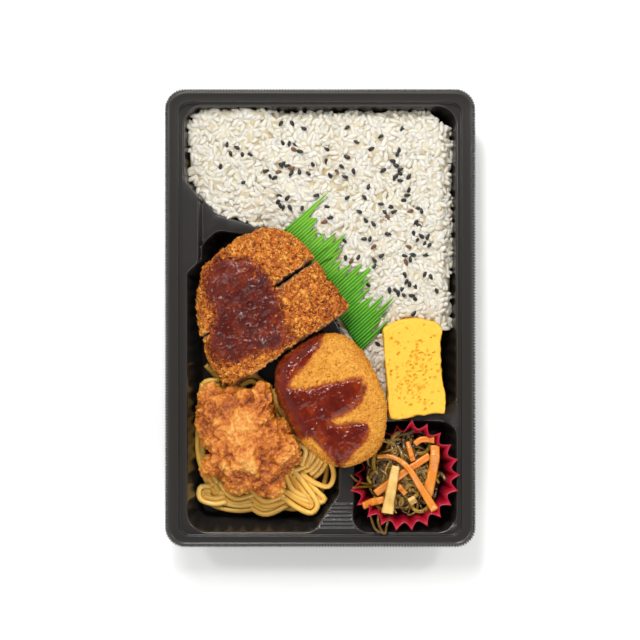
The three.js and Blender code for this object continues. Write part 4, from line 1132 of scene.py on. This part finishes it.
def pourSauce(name, outline, bodies, look, lumpHeight, seed):
    step = sauce["step"]
    loop = turnedLeft(curveThrough(outline, 160, True))
    low, high = loop.min(axis=0) - 3, loop.max(axis=0) + 3
    xs, ys = np.arange(low[0], high[0], step), np.arange(low[1], high[1], step)
    spots = np.array(np.meshgrid(xs, ys)).reshape(2, -1).T
    tree = treeOf(*joinMeshes(bodies))
    inside = depthInside(loop, spots) + sauce["ragged"] * layeredNoise(flatPoints(spots), 7, 4, seed)
    heights = castDown(tree, spots, 20.0).reshape(len(ys), len(xs))
    closed = spreadOut(spreadOut(heights, sauce["bridge"], True), sauce["bridge"], False)
    smooth = blurred(closed, sauce["soften"] / step)
    steepness = np.hypot(*np.gradient(blurred(closed, 3 / step), step)).ravel()
    inside = inside - 4 * eased(sauce["steepest"] * 0.6, sauce["steepest"], steepness)
    flat = flatPoints(spots)
    thick = sauce["thickness"] * (1 - np.exp(-np.maximum(inside, 0) / sauce["edge"]))
    thick = thick * (1 + 0.8 * layeredNoise(flat, 5, 3, seed + 5))
    lumps = lumpHeight * creasedNoise(flat, 2.8, 2, seed + 9) * eased(0, 1.5, inside)
    covered = (inside > 0).reshape(heights.shape)
    level = np.where(covered, smooth + (thick + lumps).reshape(heights.shape) - 0.35, smooth - 0.6)
    kept = (inside > -0.9).reshape(heights.shape)
    vertices = np.column_stack([spots, level.ravel()])[kept.ravel()]
    tone = np.clip(thick / 1.1, 0, 1)[kept.ravel()]
    piece = makePiece(name, vertices, gridQuads(kept), look, tone)
    thicken(piece, sauce["depth"], -1)


croquette = {
    "outline": [
        (-0.8, -9.6), (11.4, -9.4), (21.7, -16.7), (30.9, -30.4), (36.7, -46), (37.2, -59.7), (34.5, -73),
        (25.7, -81.8), (11.4, -85), (-1.3, -79.9), (-11.6, -70.1), (-20.2, -55.2), (-26, -39.6),
        (-24.6, -27.5), (-18.4, -20.4), (-10.4, -14.4),
    ],
    "thickness": 20, "voxel": 0.58, "seed": 19, "crumbs": 5200, "rough": (0.5, 12),
    "crumbSizes": [(0.6, 1.5), (0.4, 1.0), (0.3, 0.7)],
}
croquetteLook = {
    "colours": [
        (0, (101, 37, 5)), (0.22, (152, 73, 13)), (0.45, (194, 121, 33)), (0.7, (212, 148, 51)),
        (1, (223, 173, 77)),
    ],
    "mottle": [(16, 0.34), (1.6, 0.16), (0.7, 0.12)],
    "bumps": [(0.7, 0.12), (0.35, 0.06)],
    "finish": {"Roughness": 0.55, "Specular IOR Level": 0.28},
}


def makeCroquette():
    draw = np.random.default_rng(croquette["seed"])
    rings, rough = patty["rings"], croquette["rough"]
    body = pattyBody(croquette["outline"], croquetteRest, croquette["thickness"], rings, *rough)
    vertices, faces, normals = evenMesh(*body, croquette["voxel"])
    relief = 0.4 * creasedNoise(vertices, 1.9, 2, 5) + 0.25 * noiseAt(vertices, 1.0, 8)
    relief += 0.35 * layeredNoise(vertices, 14, 2, 2)
    vertices = vertices + normals * relief[:, None]
    side = 1 - eased(0.1, 0.75, normals[:, 2])

    def stain(points):
        ragged = 1.5 * layeredNoise(flatPoints(points), 5, 3, 2)
        return eased(-2.5, 1, depthInside(np.array(croquetteSauce), points[:, :2]) + ragged)

    stained = stain(vertices)
    # painted shade: darker in the creases of the relief and on the steep sides; the darkening under the sauce
    # is its stain
    tone = 0.6 + 0.3 * relief - 0.2 * side - 0.62 * stained
    allowed = (normals[:, 2] > -0.5) & (draw.random(len(vertices)) > 0.85 * stained)
    crumbs, crumbFaces, owner = strewCrumbs(
        vertices, normals, allowed, croquette["crumbs"], croquette["crumbSizes"], draw, 0.2, 0.5
    )
    # painted shade: crumbs lying low on the sides, below 36 mm, are darker
    crumbTone = draw.normal(0.64, 0.14, croquette["crumbs"])[owner] - 0.2 * (crumbs[:, 2] < 36)
    crumbTone -= 0.58 * stain(crumbs)
    joined = joinMeshes([(vertices, faces), (crumbs, crumbFaces.tolist())])
    tones = np.concatenate([tone, crumbTone])
    makePiece("croquette_crust", *joined, croquetteLook, tones, ["croquette"], "croquette_crust")
    return vertices, faces


# Fried chicken: a craggy batter, smoother and paler in the middle of the top with a painted highlight there,
# and painted shade in its creases

chicken = {
    "outline": [
        (-63.8, -40.5), (-56.9, -41.8), (-50, -40.6), (-44, -40.8), (-38.6, -41.4), (-35.8, -37.8),
        (-31.5, -37), (-28.8, -42), (-26.3, -48), (-26.6, -58), (-19.3, -62.8), (-13.8, -73.6),
        (-14.3, -83), (-19.8, -91.5), (-22.5, -98.4), (-27.3, -104.2), (-35.6, -102), (-42.5, -97.6),
        (-50.1, -99.1), (-57, -93.6), (-68.6, -89.4), (-64.2, -79), (-69.3, -66.7), (-70.6, -57),
        (-69.3, -46.8),
    ],
    "thickness": 24, "voxel": 0.52, "smoothLitSpot": (-46, -64), "smoothLitReach": 13, "rough": (1.6, 7),
    "rings": [
        (0.03, 0), (0.5, 0), (0.8, 0.04), (0.96, 0.25), (1, 0.45), (0.93, 0.7), (0.76, 0.86), (0.5, 0.96),
        (0.22, 1), (0.03, 1),
    ],
}
chickenLook = {
    "colours": [
        (0, (86, 35, 6)), (0.25, (146, 69, 13)), (0.5, (192, 106, 28)), (0.75, (215, 139, 54)),
        (1, (222, 171, 90)),
    ],
    "mottle": [(9, 0.3), (2.4, 0.26), (0.8, 0.2)],
    "bumps": [(1.2, 0.4), (0.45, 0.3)],
    "finish": {"Roughness": 0.42, "Specular IOR Level": 0.35, "Coat Weight": 0.08, "Coat Roughness": 0.2},
}


def makeChicken():
    rings, rough = chicken["rings"], chicken["rough"]
    body = pattyBody(chicken["outline"], restingHeight, chicken["thickness"], rings, *rough)
    vertices, faces, normals = evenMesh(*body, chicken["voxel"])
    away = np.hypot(vertices[:, 0] - chicken["smoothLitSpot"][0], vertices[:, 1] - chicken["smoothLitSpot"][1])
    # a smoother, paler patch of batter on the top faces, also painted lighter there as a highlight
    plain = 1 - eased(0.4 * chicken["smoothLitReach"], 1.3 * chicken["smoothLitReach"], away)
    plain *= eased(0.3, 0.8, normals[:, 2])
    bent = vertices + 2.2 * np.column_stack([noiseAt(vertices, 7, 20 + k) for k in range(3)])
    folds = creasedNoise(bent, 11, 2, 6) - 0.5
    knobs = creasedNoise(bent, 4.2, 2, 12) - 0.5
    grain = creasedNoise(vertices, 1.3, 1, 15) - 0.5
    relief = (3.0 * folds + 1.3 * knobs) * (1 - 0.4 * plain) + 0.75 * grain * (1 - 0.6 * plain)
    vertices = vertices + normals * relief[:, None]
    # painted shade in the creases of the folds, knobs and grain, and a painted highlight on the smooth patch
    # on top
    tone = 0.4 + 0.36 * folds + 0.28 * knobs + 0.2 * grain + 0.26 * plain
    tone = np.clip(tone, 0, 1)
    makePiece("fried_chicken_batter", vertices, faces, chickenLook, tone, ["fried_chicken"], "chicken_crust")


# Noodles: the routes that show, over more noodles and a low core

noodles = {
    "diameter": 3.2, "sides": 10, "spacing": 1.6, "seed": 5, "more": 60, "tries": 900,
    "core": [
        (-62, -40), (-46, -42), (-32, -44), (-24, -54), (-14, -66), (-3, -76), (-3, -90), (-20, -101),
        (-42, -101), (-60, -97), (-65, -70),
    ],
    "routes": [
        (0, [(-58.7, -36.2), (-68, -38), (-70, -57), (-71.2, -78.7), (-63.6, -100), (-48.4, -104)]),
        (1, [(-65.4, -38.5), (-67.6, -57.5), (-67.6, -83.3), (-59.9, -96.5)]),
        (1, [(-64.2, -98.2), (-70.2, -99.4), (-70.5, -106), (-61.9, -109), (-54.7, -107.6)]),
        (0, [(-67.4, -100.5), (-64.2, -105.2), (-48.9, -110), (-39.2, -109.2)]),
        (1, [(-59.5, -95.4), (-53.7, -103.4), (-48.9, -105.7), (-36.3, -102.3)]),
        (1, [(-42.6, -97.7), (-32.5, -107), (-20.8, -103.4)]),
        (0, [(-39.2, -108.6), (-32.5, -112), (-20.2, -106.3)]),
        (1, [(-26.5, -101.1), (-12.6, -111.1), (-4.8, -113.6), (-1.5, -109.1), (-7.9, -98.2), (-18.5, -85)]),
        (0, [(-16.2, -81), (-9.7, -91.8), (-1.4, -101.4), (2.8, -106.2), (-3, -108.7)]),
        (1, [(-11.6, -90.2), (-2.1, -96.5), (5.1, -98), (7.9, -91.6), (4.5, -79.3)]),
        (0, [(-20.8, -90.8), (-15.6, -100.5), (-7, -104), (-3.6, -101.1)]),
        (1, [(-1.3, -74.7), (-6.8, -84.7), (-17.3, -89.6)]),
        (2, [(-17.3, -71.8), (-8.5, -75.8), (-10.9, -85.9)]),
        (0, [(2.8, -78.7), (-1.5, -87.1), (-5.9, -91.3)]),
        (0, [(-20.2, -101.1), (-9.9, -106.3), (-3.8, -107.4)]),
        (0, [(-27.5, -41.4), (-24.5, -51.7), (-17.9, -61.1), (-11, -71.2)]),
        (0, [(-47.2, -40.2), (-40.3, -37), (-33.7, -41.2)]),
    ],
}
noodleLook = {
    "colours": [(0, (180, 117, 29)), (0.4, (227, 170, 66)), (0.7, (241, 194, 93)), (1, (246, 209, 120))],
    "mottle": [(7, 0.3), (1.3, 0.1)],
    "bumps": [(0.8, 0.03)],
    "finish": {
        "Roughness": 0.32, "Specular IOR Level": 0.5, "Coat Weight": 0.35, "Coat Roughness": 0.18,
        "Subsurface Weight": 0.15, "Subsurface Radius": (1.0, 0.6, 0.25), "Subsurface Scale": 0.0015,
    },
}


def bedHeight(x, y):
    underCroquette = 1 - eased(0.6, 1, np.hypot((x - 4) / 32, (y + 46) / 40))
    openBed = np.minimum(restingHeight(x, y), 18) - 0.7
    return openBed + (np.maximum(openBed, croquetteRest(x, y) - 0.7) - openBed) * underCroquette


def makeNoodles():
    draw = np.random.default_rng(noodles["seed"])
    routes, tones = [], []
    inner = np.array(noodles["core"])
    room = turnedLeft(roundedLoop(sideWell, tray["draft"] * 0.55 + 2.2, 4.0, 4))
    for lies, points in noodles["routes"]:
        points = np.array(points, float)
        length = np.sum(np.linalg.norm(np.diff(points, axis=0), axis=1))
        line = curveThrough(points, max(6, int(length / noodles["spacing"])))
        lift = noodles["diameter"] * (0.15 + 0.55 * lies)
        routes.append(np.column_stack([line, bedHeight(line[:, 0], line[:, 1]) + lift]))
        # painted shade: noodles lying lower are darker
        tones.append(0.62 + 0.08 * lies + draw.normal(0, 0.06))
        along = np.gradient(line, axis=0)
        side = np.column_stack([-along[:, 1], along[:, 0]]) / np.linalg.norm(along, axis=1)[:, None]
        for turn in (-1, 1):  # a noodle that runs beside it, a little lower
            apart = noodles["diameter"] * (1.04 + 0.16 * noiseAt(flatPoints(line), 14, turn + 3))
            beside = line + side * (turn * apart)[:, None]
            if (depthInside(room, beside) < -2.2).any() or draw.random() < 0.25:
                continue
            height = bedHeight(beside[:, 0], beside[:, 1]) + lift - draw.uniform(0.7, 1.9)
            routes.append(np.column_stack([beside, height]))
            # painted shade: the lower noodle beside it is darker
            tones.append(0.58 + draw.normal(0, 0.07))
    made, tries = 0, 0
    while made < noodles["more"] and tries < noodles["tries"]:
        tries += 1
        heading, curl, length = draw.uniform(0, fullTurn), draw.normal(0, 0.05), draw.uniform(26, 60)
        start = np.array([draw.uniform(-70, 6), draw.uniform(-112, -36)])
        steps = int(length / noodles["spacing"])
        turn = heading + np.cumsum(np.full(steps, curl) + draw.normal(0, 0.02, steps))
        line = start + np.cumsum(np.column_stack([np.cos(turn), np.sin(turn)]), axis=0) * noodles["spacing"]
        if (depthInside(room, line) < 0).any():
            continue
        depth = draw.uniform(2.6, 7.5)
        height = bedHeight(line[:, 0], line[:, 1]) - depth + 1.2 * np.sin(np.arange(steps) * 0.35 + made)
        routes.append(np.column_stack([line, height]))
        # painted shade: the buried noodles are darker
        tones.append(0.42 + draw.normal(0, 0.08))
        made += 1
    girths = [noodles["diameter"] * (1 + 0.06 * noiseAt(route, 9, 4)) for route in routes]
    sizes = [np.column_stack([girth] * 2) for girth in girths]
    vertices, faces = sweepTubes(routes, roundSection(noodles["sides"]), sizes)
    tone = np.concatenate([np.full(len(route) * noodles["sides"], t) for route, t in zip(routes, tones)])
    makePiece("noodle_strands", vertices, faces, noodleLook, tone, ["noodles"], "noodle")

    loop = turnedLeft(curveThrough(inner, 60, True))
    centre = loop.mean(axis=0)
    loops = []
    for scale, level in ((0.75, 0), (0.85, 0), (1, 0.5), (0.97, 0.9), (0.8, 1), (0.4, 1), (0.05, 1)):
        flat = centre + (loop - centre) * scale
        top = bedHeight(flat[:, 0], flat[:, 1]) - 4.5
        loops.append(np.column_stack([flat, 1.4 + (top - 1.4) * level]))
    core, coreFaces, coreNormals = evenMesh(*loftThrough(loops), 1.4)
    core = core + coreNormals * (0.8 * creasedNoise(core * [1, 0.35, 1], 4, 1, 4))[:, None]
    # painted shade: the low core is painted dark
    makePiece("noodle_core", core, coreFaces, noodleLook, 0.2, [], "noodle")


# Omelette slice: the cut face with its holes is on top

omelette = {
    "outline": [
        (36.3, -7.5), (37.5, -5), (42.3, -2.5), (47.8, -0.8), (53.2, -0.2), (58.7, -0.5), (64.2, -1.8),
        (68.3, -3.6), (69.5, -6.6), (69.1, -13.4), (69.2, -26.2), (71.1, -40.9), (71.8, -50), (71.5, -54.7),
        (65.5, -54.6), (59.6, -55.7), (54.5, -56), (49.6, -57.3), (43.2, -58.2), (40.3, -57.5), (39.4, -53.6),
        (38.2, -35.4), (36.6, -15.3),
    ],
    "bottom": 16, "top": 37, "voxel": 0.4, "seed": 3,
    "rings": [
        (0.03, 0), (0.955, 0), (0.985, 0.02), (1, 0.08), (1, 0.93), (0.992, 0.975), (0.965, 1), (0.03, 1),
    ],
    "notch": {"below": 24.3, "from": -49.5},  # where it lies on the ridge
    # holes: centre, spread both ways and number
    "holes": [
        ((56, -20, 3.5, 11), 38), ((54, -29, 14, 24), 60), ((53, -36, 6, 12), 40), ((60, -43, 8, 9), 22),
        ((47, -42, 6, 11), 16), ((63, -20, 4, 12), 9), ((44, -22, 4, 12), 8),
    ],
    "holeSizes": (0.3, 1.25), "holeDepth": 1.2,
    "layerLines": (2.6, 5.4),  # rolled layers show as fine lines this far from the edge
}
omeletteLook = {
    "colours": [(0, (196, 130, 30)), (0.35, (226, 168, 44)), (0.6, (236, 182, 56)), (1, (243, 198, 80))],
    "mottle": [(16, 0.2), (2.0, 0.2), (0.7, 0.1)],
    "bumps": [(1.1, 0.3), (0.5, 0.25)],
    "finish": {
        "Roughness": 0.42, "Specular IOR Level": 0.3, "Subsurface Weight": 0.15,
        "Subsurface Radius": (1.0, 0.7, 0.2), "Subsurface Scale": 0.002,
    },
}


def makeOmelette():
    draw = np.random.default_rng(omelette["seed"])
    bottom, top = omelette["bottom"], omelette["top"]
    loop = turnedLeft(curveThrough(omelette["outline"], 160, True))
    centre = loop.mean(axis=0)
    loops = []
    for scale, level in omelette["rings"]:
        loops.append(flatPoints(centre + (loop - centre) * scale, bottom + (top - bottom) * level))
    vertices, faces, normals = evenMesh(*loftThrough(loops), omelette["voxel"])
    up = eased(0.55, 0.95, normals[:, 2]) * (vertices[:, 2] > top - 2)
    pits = np.zeros(len(vertices))
    for (x, y, spreadX, spreadY), number in omelette["holes"]:
        for _ in range(number):
            spot = np.array([x, y]) + draw.normal(0, 0.55, 2) * [spreadX, spreadY]
            size = draw.uniform(*omelette["holeSizes"]) * np.array([1, draw.uniform(0.35, 1)])
            angle = draw.uniform(0, math.pi)
            near = vertices[:, :2] - spot
            along, across = [math.cos(angle), math.sin(angle)], [-math.sin(angle), math.cos(angle)]
            turned = np.column_stack([near @ along, near @ across])
            inPit = eased(1.25, 0.5, np.linalg.norm(turned / size, axis=1))
            pits = np.maximum(pits, inPit * draw.uniform(0.6, 1))
    relief = -omelette["holeDepth"] * pits * up + 0.3 * layeredNoise(vertices, 3, 3, 2)
    relief += 0.7 * layeredNoise(vertices, 4, 2, 9) * (1 - up)
    fromEdge = depthInside(loop, vertices[:, :2]) + 0.5 * layeredNoise(vertices, 14, 2, 4)
    lines = sum(np.exp(-((fromEdge - reach) / 0.3) ** 2) for reach in omelette["layerLines"])
    lines *= up * eased(0.05, 0.4, layeredNoise(vertices, 16, 2, 17) + 0.25)
    relief -= 0.2 * lines
    vertices = vertices + normals * relief[:, None]
    under = (vertices[:, 1] < omelette["notch"]["from"]) & (vertices[:, 2] < omelette["notch"]["below"])
    vertices[under, 2] = omelette["notch"]["below"]
    # painted shade: darker in the holes and on the steep sides
    tone = 0.62 - 0.42 * pits * up - 0.12 * lines - 0.1 * (1 - up) * (normals[:, 2] < 0.5)
    makePiece("omelette_slice_cut", vertices, faces, omeletteLook, tone, ["omelette_slice"], "omelette")


# Pleated cup

cup = {
    "centre": (48.3, -90.3), "floor": 1.2, "rim": 33, "film": 0.28, "pleats": 22, "pointsEach": 12,
    "innerRing": 6,
    "rings": [(0, 20.6), (0.5, 25.6), (0.92, 29.3), (1, 32.6)],
    "pleatDepth": [(0, 0.6), (0.5, 2.4), (0.92, 3.3), (1, 4.8)],
    "pressedTo": 25, "pressedAngle": 2.42, "rows": 22,
}
cupLook = {
    "colours": [(0, (80, 4, 20)), (0.45, (130, 8, 30)), (0.75, (162, 13, 40)), (1, (190, 30, 56))],
    "mottle": [(9, 0.2)],
    "bumps": [(3, 0.1), (0.6, 0.02)],
    "finish": {
        "Roughness": 0.38, "Specular IOR Level": 0.3, "Subsurface Weight": 0.15, "Subsurface Scale": 0.001,
    },
}


def makeCup():
    count = cup["pleats"] * cup["pointsEach"]
    angle = np.arange(count) * 2 * math.pi / count
    share = (np.arange(count) % cup["pointsEach"]) / cup["pointsEach"]
    valley = np.sin(math.pi * share) ** 0.85
    turn = np.abs(np.arctan2(np.sin(angle - cup["pressedAngle"]), np.cos(angle - cup["pressedAngle"])))
    rimHeight = cup["pressedTo"] + (cup["rim"] - cup["pressedTo"]) * eased(0.45, 1.0, turn)
    heights, radii = np.array(cup["rings"]).T
    depths = np.array(cup["pleatDepth"])[:, 1]
    whole = cup["rim"] - cup["floor"]
    x, y = cup["centre"]
    inner = cup["innerRing"]
    floor = np.full(count, cup["floor"])
    loops = [np.column_stack([x + inner * np.cos(angle), y + inner * np.sin(angle), floor])]
    for fraction in np.concatenate([[0], np.linspace(0.04, 1, cup["rows"])]):
        z = cup["floor"] + (rimHeight - cup["floor"]) * fraction
        level = np.clip((z - cup["floor"]) / whole, 0, 1)
        ragged = 1 + 0.12 * noiseAt(np.column_stack([np.cos(angle) * 4, np.sin(angle) * 4, level]), 1, 3)
        radius = np.interp(level, heights, radii) - valley * np.interp(fraction, heights, depths) * ragged
        radius -= cup["film"]
        around = np.column_stack([np.cos(angle) * 5, np.sin(angle) * 5, level * 0])
        lift = 0.5 * noiseAt(around, 1, 8) * fraction ** 4
        height = z + lift - 0.4 * fraction ** 4
        loops.append(np.column_stack([x + radius * np.cos(angle), y + radius * np.sin(angle), height]))
    vertices = np.vstack(loops)
    faces = [tuple(range(count))]
    for level in range(len(loops) - 1):
        faces += ringQuads(level * count, (level + 1) * count, count)[:, ::-1].tolist()
    # painted shade: darker in the pleats' valleys and lower down inside the cup
    tone = 0.2 + 0.35 * np.tile(1 - valley, len(loops)) + 0.4 * eased(20, 32, vertices[:, 2])
    piece = makePiece("pleated_cup_film", vertices, faces, cupLook, tone, ["pleated_cup"], "cup_film")
    thicken(piece, cup["film"], 0)


# Kelp salad: thin curled strands over a core painted dark as shade; lower strands are painted darker

kelp = {
    "top": 28, "edge": 22, "reach": 24, "strands": 130, "width": (1.5, 2.8), "thickness": 1.1, "seed": 23,
    "coreRadii": [(18, 2.0), (20.5, 13), (22.2, 20.5)], "coreTop": (18, 12, 6, 1),
    # where strands start, as spread and shift from the cup's centre, their step and how far out they go
    "spread": 21.5, "shift": [0.4, -2.4], "step": 0.9, "farthest": 26.4,
    "lift": [(19, 23.5), (25, 28), (29.5, 34.2), (34, 34.4), (38, 33.4)],  # radius and height over the rim
    "overRim": [
        [(17.5, -90.2), (21.6, -94.3), (28.3, -96.4), (34, -97)],
        [(18.5, -97.4), (23.1, -97.6), (28.8, -97.9), (33, -99)],
        [(34.6, -106), (33.9, -110.7), (33.4, -117.9), (37, -124), (38.2, -119.5), (40.1, -114)],
        [(28.8, -113.9), (31.9, -121.5), (36, -123.6)],
    ],
}
kelpLook = {
    "colours": [
        (0, (24, 13, 1)), (0.3, (62, 40, 4)), (0.55, (100, 71, 10)), (0.8, (139, 104, 22)),
        (1, (167, 132, 40)),
    ],
    "mottle": [(5, 0.4), (1.2, 0.15)],
    "bumps": [(0.8, 0.08)],
    "finish": {"Roughness": 0.28, "Specular IOR Level": 0.4, "Coat Weight": 0.25, "Coat Roughness": 0.1},
}


def saladHeight(points):
    reach = np.hypot(points[:, 0] - cup["centre"][0], points[:, 1] - cup["centre"][1])
    return kelp["top"] - (kelp["top"] - kelp["edge"]) * (reach / kelp["reach"]) ** 2


def makeKelp(strips):
    draw = np.random.default_rng(kelp["seed"])
    centre = np.array(cup["centre"])
    angle = np.arange(48) * 2 * math.pi / 48
    ring = np.column_stack([np.cos(angle), np.sin(angle)])
    loops = [flatPoints(centre + ring * radius, z) for radius, z in kelp["coreRadii"]]
    for radius in kelp["coreTop"]:
        flat = centre + ring * radius
        loops.append(flatPoints(flat, saladHeight(flat) - 2.0))
    core, coreFaces, normals = evenMesh(*loftThrough(loops), 0.8)
    core = core + normals * (0.8 * creasedNoise(core, 2.6, 2, 3))[:, None]
    # painted shade: the core, seen in the gaps between the strands, is dark
    makePiece("kelp_core", core, coreFaces, kelpLook, 0.12, [], "kelp")

    croquetteBody = surfaceOf("croquette")
    routes, sizes, tones = [], [], []
    while len(routes) < kelp["strands"]:
        reach = kelp["spread"] * math.sqrt(draw.random())
        around, heading = draw.uniform(0, fullTurn), draw.uniform(0, fullTurn)
        curl, length = draw.normal(0, 0.13), draw.uniform(14, 38)
        steps = int(length / kelp["step"])
        turn = heading + np.cumsum(np.full(steps, curl) + draw.normal(0, 0.045, steps))
        line = centre + kelp["shift"] + reach * np.array([math.cos(around), math.sin(around)])
        line = line + np.cumsum(np.column_stack([np.cos(turn), np.sin(turn)]), axis=0) * kelp["step"]
        away = np.hypot(*(line - centre).T)
        if (away > kelp["farthest"]).any():
            continue
        layer = draw.uniform(-2.0, 1.1)
        ripple = 0.6 * np.sin(np.arange(steps) * 0.4 + draw.uniform(0, fullTurn))
        z = saladHeight(line) + 5 * eased(19, 26, away) + layer + ripple
        route = loweredUnder(np.column_stack([line, z]), strips, 0.7)
        route = loweredUnder(route, croquetteBody, 1.2)
        routes.append(route)
        width = draw.uniform(*kelp["width"])
        taper = 0.45 + 0.55 * np.sin(np.linspace(0.15, math.pi - 0.15, steps)) ** 0.5
        sizes.append(np.column_stack([width * taper, kelp["thickness"] * taper]))
        # painted shade: strands lying lower are darker
        tones.append(draw.normal(0.52, 0.2) + layer * 0.1)
    for points in kelp["overRim"]:
        line = curveThrough(points, 30)
        height = np.interp(np.hypot(*(line - centre).T), *np.transpose(kelp["lift"]))
        routes.append(loweredUnder(np.column_stack([line, height]), croquetteBody, 1.2))
        taper = 0.5 + 0.5 * np.sin(np.linspace(0.2, math.pi - 0.2, 30)) ** 0.5
        sizes.append(np.column_stack([1.5 * taper, kelp["thickness"] * taper]))
        tones.append(0.5)
    vertices, faces = sweepTubes(routes, roundSection(6), sizes)
    tone = np.concatenate([np.full(len(route) * 6, t) for route, t in zip(routes, tones)])
    makePiece("kelp_strands", vertices, faces, kelpLook, np.clip(tone, 0, 1), ["kelp_salad"], "kelp")


carrots = [
    {"widths": (4.2, 4.4), "thickness": 1.8, "points": [(63.3, -79.5), (48.3, -89.2), (32.1, -101.5)]},
    {
        "widths": (5.2, 6.2), "thickness": 1.8,
        "points": [(66.3, -73.5), (66.2, -80), (65.4, -87), (61.8, -102.9)],
    },
    {"widths": (4.2, 4.2), "thickness": 1.7, "points": [(24.9, -107.8), (30, -106.4), (36.8, -104.8)]},
    {"widths": (2.6, 3.2), "thickness": 1.6, "points": [(50.6, -71.6), (52, -77), (53.6, -82.4)]},
    {"widths": (3.4, 3.8), "thickness": 1.6, "points": [(54.6, -72.6), (58.5, -70.2), (65.6, -70.4)]},
    {"widths": (3, 3.2), "thickness": 1.6, "points": [(44.8, -96.3), (49.2, -101.6)]},
    {
        "widths": (2.2, 4.8), "thickness": 1.8,
        "points": [(32.9, -80.3), (40.1, -80), (47.2, -83), (51.8, -87.7), (56.5, -95.3), (66, -110.6)],
    },
]
tofuStrips = [
    {"widths": (4.4, 6.8), "thickness": 2, "points": [(43.4, -85), (41, -98), (38.6, -112.4)]},
    {"widths": (4.4, 4.4), "thickness": 2, "points": [(52.2, -103.6), (54.2, -107.2)]},
]
carrotLook = {
    "colours": [(0, (187, 84, 13)), (0.45, (214, 122, 26)), (1, (225, 155, 62))],
    "mottle": [(6, 0.4), (1.0, 0.2)],
    "bumps": [(1.2, 0.08)],
    "finish": {
        "Roughness": 0.35, "Specular IOR Level": 0.5, "Coat Weight": 0.2, "Coat Roughness": 0.15,
        "Subsurface Weight": 0.15, "Subsurface Radius": (1.0, 0.4, 0.15), "Subsurface Scale": 0.0015,
    },
}
tofuLook = {
    "colours": [(0, (143, 89, 30)), (0.4, (208, 161, 76)), (1, (233, 202, 128))],
    "mottle": [(3, 0.5), (0.9, 0.3)],
    "bumps": [(1.4, 0.4), (0.5, 0.15)],
    "finish": {"Roughness": 0.42, "Specular IOR Level": 0.5, "Coat Weight": 0.15, "Coat Roughness": 0.2},
}


def makeStrip(node, name, strip, look, slot, seed):
    # a cut strip laid where its solid lies
    surface = surfaceOf(node)
    line = curveThrough(strip["points"], 40)
    inner = line[1:-1]
    height = castDown(surface, inner)
    good = ~np.isnan(height)
    height = np.interp(np.arange(len(line)), np.flatnonzero(good) + 1, height[good]) - strip["thickness"] / 2
    away = np.hypot(line[:, 0] - cup["centre"][0], line[:, 1] - cup["centre"][1])
    height = np.maximum(height, np.interp(away, *np.transpose(kelp["lift"])) + 0.8)  # up over the cup's wall
    corner = 0.32
    section = np.array([
        (-0.5, -0.5 + corner), (-0.5 + corner / 2, -0.5), (0.5 - corner / 2, -0.5), (0.5, -0.5 + corner),
        (0.5, 0.5 - corner), (0.5 - corner / 2, 0.5), (0, 0.44), (-0.5 + corner / 2, 0.5),
        (-0.5, 0.5 - corner),
    ])
    route = np.column_stack([line, height])
    width = np.linspace(*strip["widths"], len(route)) * (1 + 0.07 * noiseAt(route, 4, seed))
    thickness = strip["thickness"] * (1 + 0.07 * noiseAt(route, 5, seed + 1))
    vertices, faces = sweepTubes([route], section, [np.column_stack([width, thickness])])
    # streaks run along the strip, and its sides and underside are painted darker than its top, as shade
    across = np.tile([-0.1, -0.1, 0.02, -0.12, -0.06, 0.12, 0.0, 0.1, -0.14], len(route))
    tone = 0.45 + 0.05 * (seed % 4) + across + 0.2 * noiseAt(vertices, 4, seed)
    makePiece(name, vertices, faces, look, tone, [node], slot)
    return vertices, faces


def makeStrips():
    bodies = []
    for i, strip in enumerate(carrots, 1):
        bodies.append(makeStrip(f"carrot_{i}", f"carrot_strip_{i}", strip, carrotLook, "carrot", i))
    for i, strip in enumerate(tofuStrips, 1):
        bodies.append(makeStrip(f"tofu_{i}", f"fried_tofu_strip_{i}", strip, tofuLook, "fried_tofu", i))
    return treeOf(*joinMeshes(bodies))


def makeFloor():
    mesh = bpy.data.meshes.new("floor")
    size = 3.0
    corners = [(-size, -size, 0), (size, -size, 0), (size, size, 0), (-size, size, 0)]
    mesh.from_pydata(corners, [], [(0, 1, 2, 3)])
    floor = bpy.data.objects.new("floor", mesh)
    pale = lightSetup["floor"]
    look = {"colours": [(0, pale), (1, pale)], "finish": {"Roughness": 0.8, "Specular IOR Level": 0.1}}
    mesh.materials.append(makeMaterial("floor", look))
    floor.location.z = -0.0002
    scene.collection.objects.link(floor)


makeCamera(cameraSetup)
makeLights(lightSetup)
makeFloor()
makeTray()
grains = makeRice()
makeSesame(grains)
makeDivider()
slices = makeCutlet()
pourSauce("cutlet_sauce", cutletSauce, slices, cutletSauceLook, 0.4, 1)
croquetteBody = makeCroquette()
pourSauce("croquette_sauce", croquetteSauce, [croquetteBody], croquetteSauceLook, 0.3, 2)
makeChicken()
makeNoodles()
makeOmelette()
makeCup()
makeKelp(makeStrips())

bpy.context.view_layer.update()
print("meal made")
